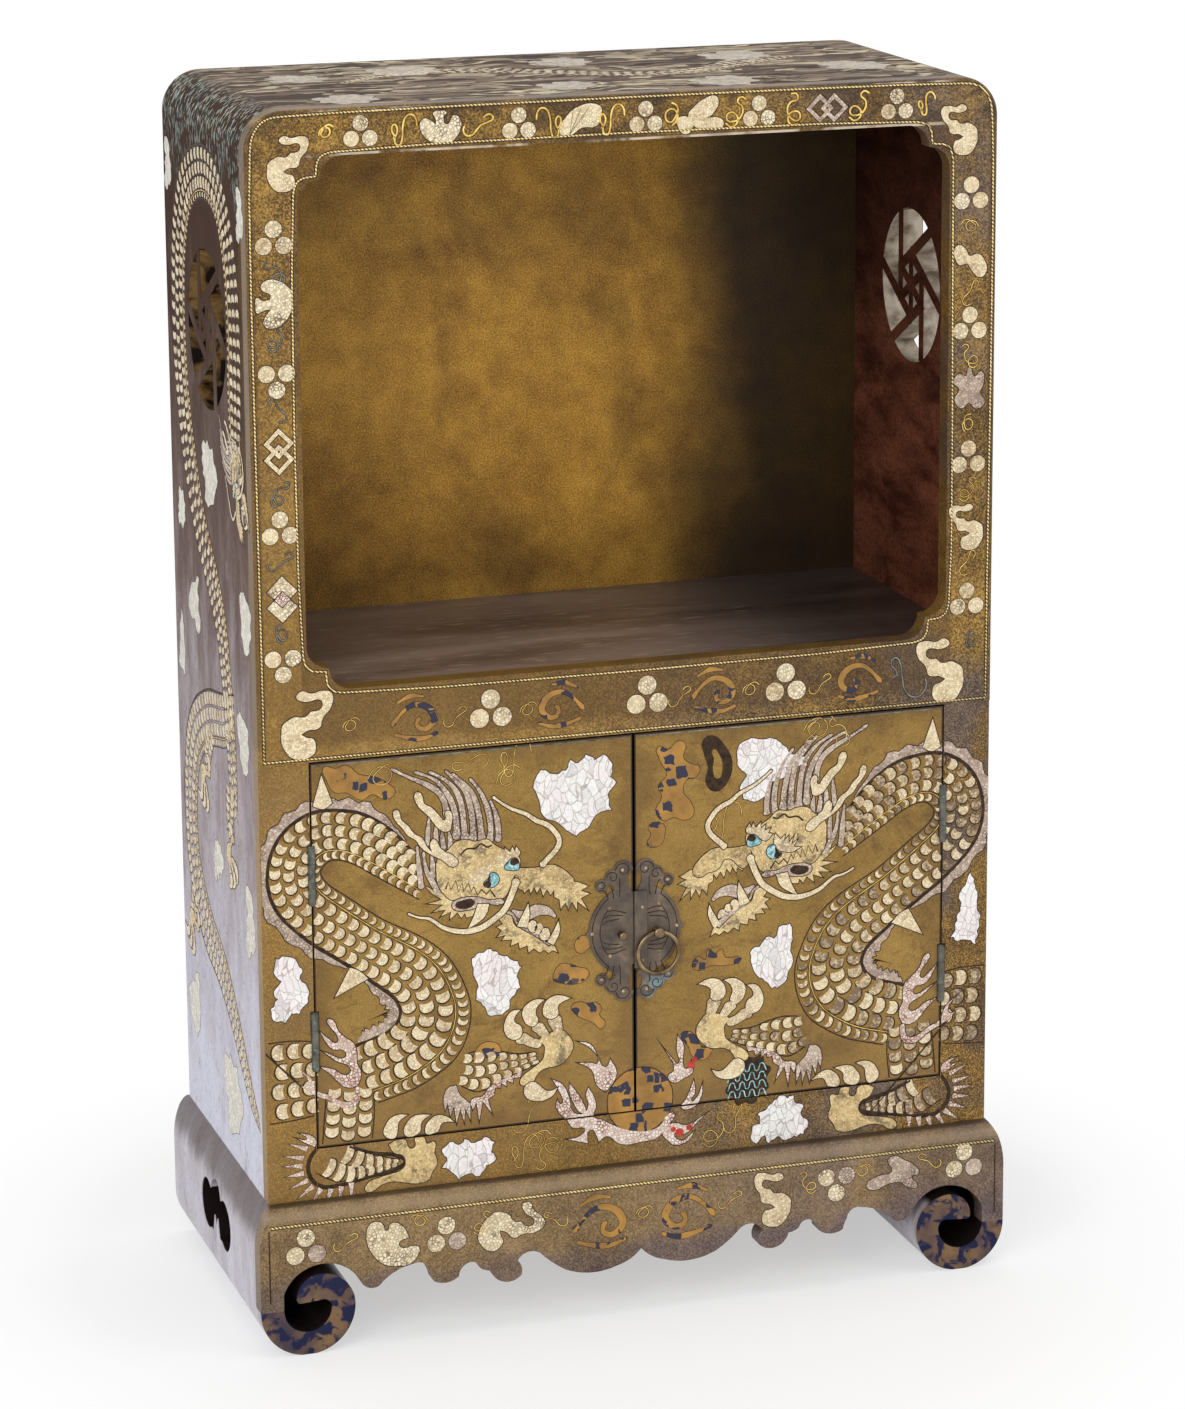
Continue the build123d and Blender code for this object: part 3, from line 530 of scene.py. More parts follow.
def makeAbalone():
    f = Finish("abalone", 0.22, coat=0.3, coatRoughness=0.05)
    play = f.noise(260, 3, 0.6, 1.2)
    f.paint(f.ramp(play, (0.32, 50, 92, 102), (0.5, 128, 186, 190), (0.68, 212, 236, 232)))
    f.bump(play, 0.2, 0.1)
    return f.material


finishes = {
    "front": makeFrontLacquer(),
    "apron": makeApronLacquer(),
    "door": makeDoorLacquer(),
    "side": makeSideLacquer(),
    "stand": makeStandLacquer(),
    "top": makeTopLacquer(),
    "nicheBack": makeNicheBack(),
    "shelf": makeShelfLacquer(),
    "bare": makeBareWood(),
    "lock": makeLockBrass(),
    "ring": makeRingBrass(),
    "hinge": makeHingeBrass(),
    "tack": makePlain("tackBrass", (120, 104, 78), (196, 178, 136), 300, 0.65, 0.35, 0.6, 500, 0.1),
    "skin": makeRaySkin("raySkin", (120, 102, 82), (206, 184, 144), (240, 224, 188),
                        (120, 90, 64), seams=0.55),
    "pebble": makeRaySkin("pebbleSkin", (186, 166, 132), (218, 200, 162), (242, 228, 196),
                          (96, 74, 54), grains=380, seams=0.9),
    "fin": makeRaySkin("finSkin", (136, 112, 102), (182, 160, 142), (214, 196, 176),
                       (90, 68, 60), grains=430, seams=0.8),
    "face": makeRaySkin("faceSkin", (144, 118, 78), (210, 182, 126), (234, 210, 156),
                        (108, 82, 54), seams=0.5, blots=0.7),
    "paleSkin": makeRaySkin("paleSkin", (160, 152, 144), (208, 202, 188), (232, 226, 210),
                            (96, 84, 84), grains=300, seams=0.4),
    "duskySkin": makeRaySkin("duskySkin", (110, 98, 84), (164, 150, 128), (196, 182, 156),
                             (84, 68, 56), grains=300, seams=0.5, blots=0.5),
    "flame": makeRaySkin("flameSkin", (200, 168, 152), (222, 202, 186), (240, 230, 218),
                         (128, 84, 72), grains=380, seams=1.0),
    "pearl": makePearl(),
    "shell": makeShell(),
    "twist": makeTwist("twistedWire", (84, 60, 30), (240, 214, 144)),
    "wire": makePlain("brassWire", (190, 146, 56), (246, 212, 112), 150, 0.65, 0.3, 0.25, 150, 0.1),
    "oldWire": makePlain("dullWire", (86, 84, 76), (132, 138, 130), 150, 0.65, 0.3, 0.5, 150, 0.1),
    "groove": makePlain("darkGroove", (34, 22, 14), (70, 50, 32), 200, roughness=0.6, specular=0.2),
    "red": makePlain("redLac", (160, 30, 24), (212, 66, 50), 160),
    "abalone": makeAbalone(),
}
print("finishes ready:", len(finishes))


def bothSides(*names):
    return [f"{name}_{side}" for name in names for side in ("left", "right")]


nodeFinish = {
    "front": ["frame_top_rail", "frame_bottom_rail", "lower_rail", *bothSides("frame_stile", "lower_stile")],
    "apron": ["stand_apron_front"],
    "door": bothSides("door_board"),
    "side": bothSides("side_panel"),
    "stand": ["stand_apron_back", *bothSides("stand_side")],
    "top": ["top_panel"],
    "nicheBack": ["niche_back_panel"],
    "shelf": ["niche_shelf"],
    "bare": ["lower_back_panel", "cupboard_floor", "shelf_bearer", "door_stop_block",
             "stand_top_board", "stand_glue_blocks"],
    "lock": ["lock_bar", *bothSides("lock_plate")],
    "tack": ["lock_bar_rivets", *bothSides("lock_tacks")],
    "ring": ["ring_eye_post", "small_eye_post", "pull_ring"],
    "hinge": bothSides("hinge_frame_leaves", "hinge_door_leaves", "hinge_pins", "frame_leaf_nails",
                       "door_leaf_nails"),
}
for finishName, names in nodeFinish.items():
    for nodeName in names:
        for materialSlot in nodes[nodeName].material_slots:
            materialSlot.material = finishes[finishName]
missing = set(nodes) - {name for names in nodeFinish.values() for name in names}
print("nodes without a finish:", sorted(missing))


# inlay tools
# each ground carries drawings made in millimetres: across, up, and outward


def facingFront(level, height=1.0):
    return Matrix(((1, 0, 0, 0), (0, 0, -height, level * mm), (0, 1, 0, 0), (0, 0, 0, 1)))


def facingSide(way):
    return Matrix(((0, 0, way, way * cabinet["side"] * mm), (way, 0, 0, 0), (0, 1, 0, 0), (0, 0, 0, 1)))


# on the apron and the top the plates are kept lower, close to the outside of the cabinet
grounds = {
    "frame": facingFront(cabinet["front"]), "doors": facingFront(door["front"]),
    "apron": facingFront(cabinet["apron"], 0.25), "left": facingSide(-1), "right": facingSide(1),
    "top": Matrix(((1, 0, 0, 0), (0, 1, 0, 0), (0, 0, 0.2, cabinet["top"] * mm), (0, 0, 0, 1))),
    "plateLeft": facingFront(cabinet["lockPlate"]), "plateRight": facingFront(cabinet["lockPlate"]),
}
# how high each kind of plate stands, and how deep it is let in
lifts = {"groove": 0.09, "low": 0.13, "scale": 0.19, "high": 0.26, "top": 0.33, "crown": 0.41, "pupil": 0.47}
letIn = 0.12
inlays = {}     # (ground, finish) -> bmesh that gathers every shape of that kind
layers = {"laid": 0}    # no two plates lie at quite the same height


def take(ground, finish, mesh, tone=0.6):
    # adds a mesh to what lies on this ground in this finish, and gives back its points
    if (ground, finish) not in inlays:
        inlays[(ground, finish)] = bmesh.new()
        inlays[(ground, finish)].verts.layers.float.new("tone")
    bm = inlays[(ground, finish)]
    layer = bm.verts.layers.float["tone"]
    before = len(bm.verts)
    bm.from_mesh(mesh)
    bm.verts.ensure_lookup_table()
    for vert in bm.verts[before:]:
        vert[layer] = tone
    return bm, bm.verts[before:]


def curveMesh(outlines, steps, thick, offset=0.0, closed=True, bevel=0.0):
    curve = bpy.data.curves.new("drawing", "CURVE")
    curve.dimensions = "2D" if closed else "3D"
    curve.resolution_u = steps
    if closed:
        curve.fill_mode = "BOTH"
        curve.extrude = thick / 2 * mm
        curve.offset = offset * mm
    else:
        curve.bevel_depth = bevel * mm
        curve.bevel_resolution = 1
        curve.use_fill_caps = True
    for outline in outlines:
        spline = curve.splines.new("BEZIER")
        spline.bezier_points.add(len(outline) - 1)
        for point, spot in zip(spline.bezier_points, outline):
            point.co = (spot[0] * mm, spot[1] * mm, 0)
            kind = "VECTOR" if len(spot) > 2 else "AUTO"
            point.handle_left_type = point.handle_right_type = kind
        spline.use_cyclic_u = closed
    holder = bpy.data.objects.new("drawing", curve)
    bpy.context.scene.collection.objects.link(holder)
    bpy.context.view_layer.update()
    mesh = bpy.data.meshes.new_from_object(holder)
    bpy.data.objects.remove(holder)
    bpy.data.curves.remove(curve)
    weld = bmesh.new()
    weld.from_mesh(mesh)
    bmesh.ops.remove_doubles(weld, verts=weld.verts, dist=0.002 * mm)
    weld.to_mesh(mesh)
    weld.free()
    return mesh


def inlay(ground, finish, outlines, level="low", tone=0.6, steps=3, rim=0.75):
    # thin plates let into the lacquer, each in a slightly wider dark groove
    layers["laid"] += 1
    nudge = layers["laid"] % 7 * 0.006
    below = lifts[level] - 0.05 if lifts[level] > 0.2 else lifts["groove"]
    plates = [("groove", rim, below + nudge)] if rim else []
    for kind, offset, lift in (*plates, (finish, 0.0, lifts[level] + nudge)):
        thick = lift + letIn
        mesh = curveMesh(outlines, steps, thick, offset)
        mesh.transform(grounds[ground] @ Matrix.Translation((0, 0, (lift - thick / 2) * mm)))
        take(ground, kind, mesh, tone)
        bpy.data.meshes.remove(mesh)


def wire(ground, paths, radius=0.5, finish="wire", steps=5, lift=0.0):
    mesh = curveMesh(paths, steps, 0, closed=False, bevel=radius)
    layers["laid"] += 1
    flat = 0.14 if finish == "groove" else 0.5      # pressed into the lacquer, grooves most of all
    up = Matrix.Translation((0, 0, (lift + layers["laid"] % 5 * 0.005) * mm))
    mesh.transform(grounds[ground] @ up @ Matrix.Diagonal((1, 1, flat, 1)))
    take(ground, finish, mesh)
    bpy.data.meshes.remove(mesh)


def place(outline, x, z, turn=0.0, size=1.0, flip=1):
    # moves a drawing from its own centre to the ground
    c, s = math.cos(math.radians(turn)), math.sin(math.radians(turn))
    return [(x + flip * size * (c * p[0] - s * p[1]), z + size * (s * p[0] + c * p[1]), *p[2:])
            for p in outline]


def mirrored(outline, flip):
    return [(p[0] * flip, *p[1:]) for p in outline]


def disc(x, z, radius):
    return [(x + radius * math.cos(a * math.pi / 4), z + radius * math.sin(a * math.pi / 4))
            for a in range(8)]


def ragged(outline, depth):
    # breaks the edge of a shape into small uneven teeth
    broken = []
    for i, spot in enumerate(outline):
        here, there = Vector(spot[:2]), Vector(outline[(i + 1) % len(outline)][:2])
        way = there - here
        out = Vector((way.y, -way.x)).normalized()
        broken.append((here.x, here.y, 1))
        for part in (0.33, 0.7):
            point = here + way * part + out * random.uniform(-depth, depth)
            broken.append((point.x, point.y, 1))
    return broken


def along(points, count):
    # evenly divided smooth line through the points: place and direction at each step
    pts = [Vector(p[:2]) for p in points]
    ends = [2 * pts[0] - pts[1]] + pts + [2 * pts[-1] - pts[-2]]
    line = []
    for i in range(count):
        t = i / (count - 1) * (len(pts) - 1)
        k = min(int(t), len(pts) - 2)
        u = t - k
        a, b, c, d = ends[k:k + 4]
        spot = 0.5 * (2 * b + (c - a) * u + (2 * a - 5 * b + 4 * c - d) * u * u
                      + (3 * b - a - 3 * c + d) * u ** 3)
        slope = 0.5 * ((c - a) + 2 * (2 * a - 5 * b + 4 * c - d) * u + 3 * (3 * b - a - 3 * c + d) * u * u)
        line.append((spot, slope.normalized() if slope.length > 1e-6 else Vector((1, 0))))
    return line


def strand(points, start, middle, end, count=9):
    # closed outline of a tapering ribbon along a line
    left, right = [], []
    for i, (spot, way) in enumerate(along(points, count)):
        t = i / (count - 1)
        width = (start + (middle - start) * t * 2 if t < 0.5 else middle + (end - middle) * (2 * t - 1))
        out = Vector((-way.y, way.x)) * width / 2
        left.append(tuple(spot + out))
        right.append(tuple(spot - out))
    return left + right[::-1]


random.seed(11)


# motifs of the frame and the apron
def threeDiscs(ground, x, z, radius=6.0, pointUp=True, finishNames=("pebble", "skin", "pebble")):
    way = 1 if pointUp else -1
    reach = radius * 1.2
    for (dx, dz), finish in zip(((0, 0.95), (-1.0, -0.66), (1.0, -0.66)), finishNames):
        inlay(ground, finish, [disc(x + dx * reach, z + way * dz * reach, radius)],
              tone=random.choice((0.4, 0.6, 0.8)), rim=0.5)


motifs = {
    # curling cloud head on a hooked tail
    "comma": [(-6, 17), (-4, 20), (0, 21), (4, 19), (8, 19), (12, 20), (16, 20), (20, 19), (22, 15),
              (21, 9), (19, 5), (15, 1), (13, -3), (12, -7), (8, -9), (3, -9), (-3, -12, 1), (2, -15),
              (6, -16), (8, -21), (7, -27), (3, -30), (-4, -31), (-11, -29), (-15, -24), (-18, -17),
              (-18, -10), (-17, -4), (-12, 0), (-7, 2), (-2, 1), (2, 2), (5, 5), (9, 5), (13, 7),
              (14, 10), (13, 13), (9, 14), (5, 13), (0, 13), (-5, 15)],
    "fan": [(-19, -9), (-12, 5), (0, 12), (13, 12), (18, 8), (17, 2), (13, -6), (0, -6), (-10, -11)],
    "bell": [(-5, 12), (0, 13), (5, 12), (3, 9), (3, 4, 1), (6, 3), (10, 9), (13, 9), (16, 4), (15, -2),
             (11, -8), (7, -11), (0, -11), (-7, -9), (-12, -5), (-15, 1), (-15, 5), (-12, 8), (-8, 7),
             (-3, 3, 1), (-3, 6), (-4, 9)],
    "leaf": [(0, 17), (4, 9), (10, 13), (12, 4), (9, -4), (13, -11), (6, -16), (0, -11), (-6, -15),
             (-12, -8), (-8, 0), (-13, 6), (-8, 12), (-3, 10)],
    "bow": [(-6, 15), (-1, 9), (0, 3), (7, 2), (11, -6), (9, -15), (3, -17), (-2, -9), (-4, -2),
            (-10, -1), (-12, 6), (-10, 13)],
    "moth": [(-20, -10), (-12, -2), (-3, 2), (-8, 10), (-4, 13), (4, 11), (12, 8), (17, 2), (12, 0),
             (18, -7), (11, -8), (4, -5), (-6, -8), (-12, -12)],
    # round fruit with a slit and a stalk notch
    "fruit": [(-14, 17), (-9, 19), (-4, 17), (-2, 11, 1), (1, 11, 1), (3, 16), (11, 14), (16, 6),
              (17, 3, 1), (10, 1), (9, -2), (13, -5), (20, -4), (25, -6), (24, -12), (18, -18),
              (8, -19), (-3, -16), (-11, -8), (-16, 3), (-16, 12)],
}
# a cicada seen from above: two wings and a head
cicada = [[(-11, -1), (-6, 6), (3, 12), (11, 13), (13, 9), (10, 2), (4, -3), (-7, -5)],
          [(-7, -6), (4, -3), (15, -4), (17, -8), (13, -12), (4, -11), (-4, -10)],
          [(-20, -3), (-17, -1), (-10, -2), (-6, -5), (-8, -10), (-11, -14), (-16, -13), (-19, -8)]]
paleCloud = [(-18, 6), (-12, 14), (-6, 12), (-2, 20), (6, 18), (12, 20), (15, 12), (20, 8), (16, 0),
             (18, -8), (10, -12), (6, -20), (-2, -18), (-8, -20), (-12, -12), (-18, -8), (-15, 0)]


def motif(ground, finish, name, x, z, tone, turn=0, size=1.0, flip=1):
    inlay(ground, finish, [place(motifs[name], x, z, turn, size, flip)], tone=tone)


def diamond(x, z, size):
    return [(x, z + size, 1), (x + size, z, 1), (x, z - size, 1), (x - size, z, 1)]


def openLozenges(ground, x, z, size, sideways=False, finish="skin"):
    for step, level in ((0.52, "low"), (-0.52, "scale")):
        spot = (x + step * size, z) if sideways else (x, z + step * size)
        inlay(ground, finish, [diamond(*spot, size), diamond(*spot, size * 0.62)], level, 0.7, 1)


def fullLozenges(ground, x, z, size):
    for step, level in ((0.52, "low"), (-0.52, "scale")):
        inlay(ground, "pebble", [diamond(x, z + step * size, size)], level, 0.7, 1)
    inlay(ground, "flame", [diamond(x, z, size * 0.5)], "high", steps=1)


curls = {
    # strokes of bent wire
    "tail": [(-9, -8), (-4, -11), (1, -7), (-1, -1), (-6, 0), (-8, -5), (-3, -7), (4, -3), (5, 4),
             (1, 9), (4, 12), (8, 10)],
    "bridge": [(-10, -7), (-7, -3), (-7, 2), (-9, 4), (-11, 0), (-9, -5), (-8, -11), (-5, -12), (-3, -8),
               (-2, 3), (1, 10), (5, 11), (8, 8), (9, 2)],
    "cup": [(-12, 0), (-13, -3), (-11, -7), (-6, -7), (-2, -3), (1, 0), (6, 2), (11, 5), (9, 8), (6, 8),
            (3, 6)],
    "ess": [(-13, 0), (-9, 2), (-10, 6), (-14, 11), (-12, 16), (-9, 16), (-6, 11), (-4, -2), (-2, -11),
            (6, -18), (13, -16), (17, -8), (16, -3)],
    "loop": [(-8, 0), (-4, 5), (3, 5), (5, 0), (0, -4), (-5, -1), (-2, 4), (6, 7), (10, 3)],
}


def curl(ground, x, z, kind="tail", size=1.0, turn=0.0, flip=1, finish="wire", radius=0.7):
    path = place(curls[kind], x, z, turn, size, flip)
    wire(ground, [path], radius + 0.35, "groove")
    wire(ground, [path], radius, finish)


cloudScroll = [
    strand([(-16, -4), (-8, 5), (0, 9), (9, 6), (13, -2), (7, -8), (1, -5), (3, 0)], 1.5, 4.5, 2.0, 13),
    strand([(-14, -10), (-4, -13), (6, -14), (15, -11)], 1.2, 3.6, 1.2),
    strand([(-12, 11), (-3, 15), (6, 14)], 1.0, 3.4, 1.0),
]


def scroll(ground, x, z, size, flip):
    for part in cloudScroll:
        inlay(ground, "shell", [place(part, x, z, 0, size, flip)], tone=0.5, rim=0.4)


def frameMotifs():
    ground = "frame"
    for x, z, size, flip in ((-262, 915, 0.78, 1), (263, 914, 0.74, -1), (-257, 497, 1.0, 1),
                             (252, 495, 0.98, -1)):
        motif(ground, "skin", "comma", x, z, 0.8, 0, size, flip)
    for x in (-206, -86, 12, 101, 211):
        threeDiscs(ground, x, 931.5, 5.8)
    motif(ground, "pebble", "bell", -146, 931, 0.9)
    motif(ground, "skin", "fan", -38, 932, 0.85, 4, 0.9)
    for part in cicada:
        inlay(ground, "skin", [place(part, 56, 932)], tone=0.7)
    for ribX in (-44, -38, -32):
        wire(ground, [[(-47, 922), (ribX, 941)]], 0.3, "groove", lift=0.1)
    openLozenges(ground, 155, 932, 11, True, "fin")
    for x, kind, flip, turn in ((-172, "bridge", 1, 0), (-116, "cup", 1, 0), (-64, "bridge", -1, 0),
                                (-13, "bridge", 1, 0), (31, "loop", -1, 80), (83, "tail", 1, 0),
                                (128, "tail", -1, 30), (181, "tail", 1, 0), (-232, "loop", 1, 20),
                                (236, "bridge", 1, 10)):
        curl(ground, x, 932, kind, 0.95 if abs(x) < 200 else 0.7, turn, flip, "wire", 0.85)
    for z, up in ((857, True), (753, False), (642, True), (539, False)):
        threeDiscs(ground, -272.5, z, 6.3, up)
    for z in (861, 761, 657, 545):
        threeDiscs(ground, 272, z, 6.3, True, ("skin", "pebble", "skin"))
    motif(ground, "pebble", "bell", -272, 809, 0.8, 90, 1.15)
    openLozenges(ground, -272, 700, 11.5)
    fullLozenges(ground, -272, 589, 11.5)
    motif(ground, "skin", "bow", 272, 811, 0.7, 20, 0.95)
    motif(ground, "fin", "leaf", 272, 711, 0.35)
    motif(ground, "skin", "comma", 272, 606, 0.75, 0, 0.7, -1)
    for x, z, kind, turn, flip in ((-272, 783, "tail", 0, 1), (-272, 732, "cup", 90, 1),
                                   (-272, 668, "tail", 60, -1), (-272, 617, "cup", 0, 1),
                                   (272, 836, "loop", 0, -1), (272, 786, "cup", 90, -1),
                                   (272, 736, "tail", 0, -1), (272, 683, "loop", 60, 1),
                                   (272, 632, "tail", 0, 1), (272, 575, "cup", 90, -1),
                                   (-272, 562, "loop", 80, 1), (-272, 832, "tail", 70, 1)):
        finish, radius = ("oldWire", 0.5) if x < 0 else ("wire", 0.42)
        curl(ground, x, z, kind, 0.8, turn, flip, finish, radius)
    for x in (-113, 11, 123):
        threeDiscs(ground, x, 491, 7.4)
    for x, flip in ((-172, 1), (-58, -1), (65, 1), (183, -1)):
        scroll(ground, x, 490, 1.15, flip)
    curl(ground, 223, 488, "ess", 0.95, 0, 1, "oldWire", 0.7)
    curl(ground, 277, 512, "loop", 0.8, 70, 1, "oldWire", 0.6)
    for x, kind in ((-222, "loop"), (-140, "cup"), (-84, "loop"), (38, "cup"), (94, "loop"), (152, "cup")):
        curl(ground, x, 488, kind, 0.8, 10, 1, "wire", 0.35)


def apronMotifs():
    ground = "apron"
    for x, z, up in ((-268, 86, True), (-157, 82, True), (162, 85, False), (270, 90, True)):
        threeDiscs(ground, x, z, 7.0, up, ("pebble", "pebble", "fin"))
    motif(ground, "pebble", "fruit", -204, 81, 0.6)
    motif(ground, "pebble", "comma", -104, 86, 0.7, -50, 0.95)
    motif(ground, "skin", "comma", 110, 82, 0.7, 10, 0.85, -1)
    motif(ground, "fin", "moth", 212, 86, 0.45, -12, 1.15)
    for x, flip in ((-33, 1), (38, -1)):
        scroll(ground, x, 77, 1.4, flip)
    for x, z, kind, flip in ((-236, 86, "cup", 1), (-178, 96, "loop", -1), (-128, 88, "tail", 1),
                             (-70, 84, "cup", -1), (2, 80, "loop", 1), (74, 82, "cup", 1),
                             (138, 88, "tail", -1), (184, 92, "loop", 1), (240, 94, "cup", -1)):
        curl(ground, x, z, kind, 0.8, 0, flip, "wire", 0.4)


frameMotifs()
apronMotifs()
print("frame and apron motifs laid")


# twisted wire along the edges
def openingLine(inset):
    # the lobed line round the niche mouth, this far outside it
    halfWide, low, high, notch = 254.5 + inset, 517 - inset, 915.5 + inset, 17
    inner = notch - inset
    points = []
    for sx, sz in ((1, 1), (-1, 1), (-1, -1), (1, -1)):
        edgeZ = high if sz > 0 else low
        innerZ = edgeZ - sz * notch
        lobes = [(halfWide, innerZ - sz * inner * 0.9), (halfWide - 4, innerZ - sz * 3),
                 (halfWide - notch, innerZ, 1), (halfWide - notch - 3, edgeZ - sz * 4),
                 (halfWide - notch - inner * 0.9, edgeZ)]
        corner = mirrored(lobes, sx)
        points += corner if sx * sz > 0 else corner[::-1]
    return points


def edgeWires():
    loop = openingLine(2.6)
    outer = [(-288.5, 466, 1), (-288.5, 920), (-285, 935), (-277, 943), (-262, 945.5), (262, 945.5),
             (277, 943), (285, 935), (288.5, 920), (288.5, 466, 1)]
    rim = [(-296, 104.5), (296, 104.5)]
    rail = [(-290, 465.4), (290, 465.4)]
    for ground, path, steps, radius in (("frame", loop + loop[:1], 4, 0.85), ("frame", outer, 6, 0.85),
                                        ("frame", rail, 1, 0.85), ("apron", rim, 1, 1.05)):
        wire(ground, [path], radius + 0.45, "groove", steps)
        wire(ground, [path], radius, "twist", steps)
    for side in (-1, 1):
        wire("apron", [[(side * 296.5, 44), (side * 296.5, 102)]], 0.6, "groove", 1)
    # a bright line along the top of the doors
    for side in (-1, 1):
        wire("doors", [[(side * 3, 459.6), (side * 252, 459.6)]], 0.5, "oldWire", 1)


edgeWires()


def engravePlates():
    # the lock plate is cut with a line inside its rim and a curl in every lobe
    lobes = ((9.0, 48.5, 7.8), (17.5, 43.5, 6.4), (26.5, 37.5, 5.2))
    middle = cabinet["plateMiddle"]
    for ground, side in (("plateLeft", -1), ("plateRight", 1)):
        def polar(radius, angle):
            return (side * radius * math.cos(angle), middle + radius * math.sin(angle))
        lines = []
        for radius, reach in ((34.4, 52), (28.0, 40)):
            lines.append([polar(radius, math.radians(angle)) for angle in range(-reach, reach + 1, 8)])
        for up in (1, -1):
            for x, z, wide in lobes:
                spiral = []
                for step in range(13):
                    t = step * 0.6
                    reach = (wide - 1.2) * (1 - t / 9)
                    spiral.append((side * (x + reach * math.cos(t)),
                                   middle + up * (z + reach * math.sin(t))))
                stem = [(x * 0.5 + 8, 27), (x * 0.75 + 5, 34), (x + 0.4 * wide, z - wide * 0.75)]
                lines += [spiral, [(side * across, middle + up * high) for across, high in stem]]
            for angle in (20, 32, 44):
                t = math.radians(angle) * up
                lines.append([polar(r, t + up * bend)
                              for r, bend in ((16, 0.35), (21, 0.12), (25, 0.0), (27, -0.1))])
        wire(ground, lines, 0.42, "groove", 2)


engravePlates()
print("edge wires laid")


# dragons
def scaleMesh(name, hollow):
    # one scale, round in front and hollow behind
    bm = bmesh.new()
    bmesh.ops.create_circle(bm, cap_ends=True, segments=12, radius=0.5)
    for vert in bm.verts:
        if vert.co.x < -0.05:
            vert.co.x = -0.5 + hollow * max(0.0, 0.25 - vert.co.y ** 2)
            vert.co.y *= 1.05
    top = bmesh.ops.extrude_face_region(bm, geom=list(bm.faces))
    lifted = [item for item in top["geom"] if isinstance(item, bmesh.types.BMVert)]
    bmesh.ops.translate(bm, verts=lifted, vec=(0, 0, 1))
    bmesh.ops.recalc_face_normals(bm, faces=bm.faces)
    mesh = bpy.data.meshes.new(name)
    bm.to_mesh(mesh)
    bm.free()
    return mesh


bodyScale = scaleMesh("bodyScale", 0.8)
bellyScale = scaleMesh("bellyScale", 2.0)


def layScale(ground, finish, shape, spot, way, long, wide, tone, lift=lifts["scale"], sink=0.1):
    bm, new = take(ground, finish, shape, tone)
    across = Vector((-way.y, way.x))
    tilt = random.uniform(-0.02, 0.02)
    local = Matrix(((way.x * long * mm, across.x * wide * mm, 0, spot.x * mm),
                    (way.y * long * mm, across.y * wide * mm, 0, spot.y * mm),
                    (tilt * mm, tilt * mm, (lift + sink) * mm, -sink * mm), (0, 0, 0, 1)))
    bmesh.ops.transform(bm, matrix=grounds[ground] @ local, verts=new)


def scaledBody(ground, inner, outer, rows, belly=0.2, tones=(0.3, 1.0), flip=1, pitch=(0.42, 5.6)):
    # rows of scales between two edge lines, belly plates first, round ends toward the tail
    count = 260
    a, b = along(mirrored(inner, flip), count), along(mirrored(outer, flip), count)
    bands = [(0.03, belly - 0.03)] if belly else []
    span = (0.98 - belly) / rows
    bands += [(belly + 0.03 + span * row, belly + span * (row + 0.98)) for row in range(rows)]
    for index, (low, high) in enumerate(bands):
        plates = bool(belly) and index == 0
        travelled, last = 0.0, None
        due = 3.0 if index % 2 else 0.5
        for i in range(count):
            spot = a[i][0].lerp(b[i][0], (low + high) / 2)
            wide = (b[i][0] - a[i][0]).length * (high - low)
            if last is not None:
                travelled += (spot - last).length
            last = spot
            if travelled < due:
                continue
            step = (wide * pitch[0] + pitch[1]) * (0.78 if plates else 1.0)
            due = travelled + step
            if wide < 1.6:
                continue
            ahead, behind = min(i + 1, count - 1), max(i - 1, 0)
            way = (a[ahead][0].lerp(b[ahead][0], 0.5) - a[behind][0].lerp(b[behind][0], 0.5)).normalized()
            shape = bellyScale if plates else bodyScale
            tone = random.uniform(*tones)
            under = spot + way * 0.55
            layScale(ground, "groove", shape, under, way, step * 0.98, wide * 1.06, tone, lifts["groove"])
            layScale(ground, "skin", shape, spot, way, step * 0.84, wide * 0.93, tone)
    if belly:
        line = [tuple(a[i][0].lerp(b[i][0], belly)) for i in range(0, count, 8)]
        wire(ground, [line], 0.95, "groove", 2)
        wire(ground, [line], 0.35, "wire", 2, 0.1)
    for edge in (a, b):
        wire(ground, [[tuple(spot) for spot, way in edge[::8]]], 0.55, "groove", 2)


dragon = {
    # pairs of edge lines, belly side then back, in millimetres on the left door
    "loop": ([(-171, 348), (-188, 359), (-205, 370), (-220, 380), (-232, 385), (-240, 385), (-245, 381),
              (-247, 376), (-244, 370), (-238, 364), (-227, 356), (-213, 345), (-196, 333), (-179, 324),
              (-162, 313), (-147, 298), (-138, 281), (-132, 264), (-132, 247), (-137, 230), (-146, 217),
              (-160, 207), (-175, 199), (-192, 194), (-211, 189)],
             [(-175, 386), (-193, 405), (-212, 418), (-229, 423), (-250, 424), (-267, 417), (-280, 404),
              (-287, 386), (-287, 365), (-278, 345), (-256, 323), (-237, 309), (-218, 295), (-205, 284),
              (-193, 274), (-188, 266), (-187, 261), (-188, 256), (-191, 251), (-199, 245), (-208, 242),
              (-214, 240), (-219, 239), (-223, 238), (-227, 237)]),
    "hind": ([(-256, 186), (-272, 184), (-291, 183)], [(-256, 245), (-272, 247), (-291, 247)]),
    "root": ([(-209, 200), (-209, 182), (-211, 162)], [(-246, 203), (-248, 184), (-250, 162)]),
    "tail": ([(-222, 156), (-211, 151), (-200, 146), (-189, 143)],
             [(-256, 140), (-238, 131), (-214, 134), (-189, 138)]),
    "arm": ([(-134, 222), (-122, 223), (-110, 221), (-95, 217), (-80, 217)],
            [(-140, 196), (-126, 190), (-108, 196), (-92, 202), (-80, 207)]),
}
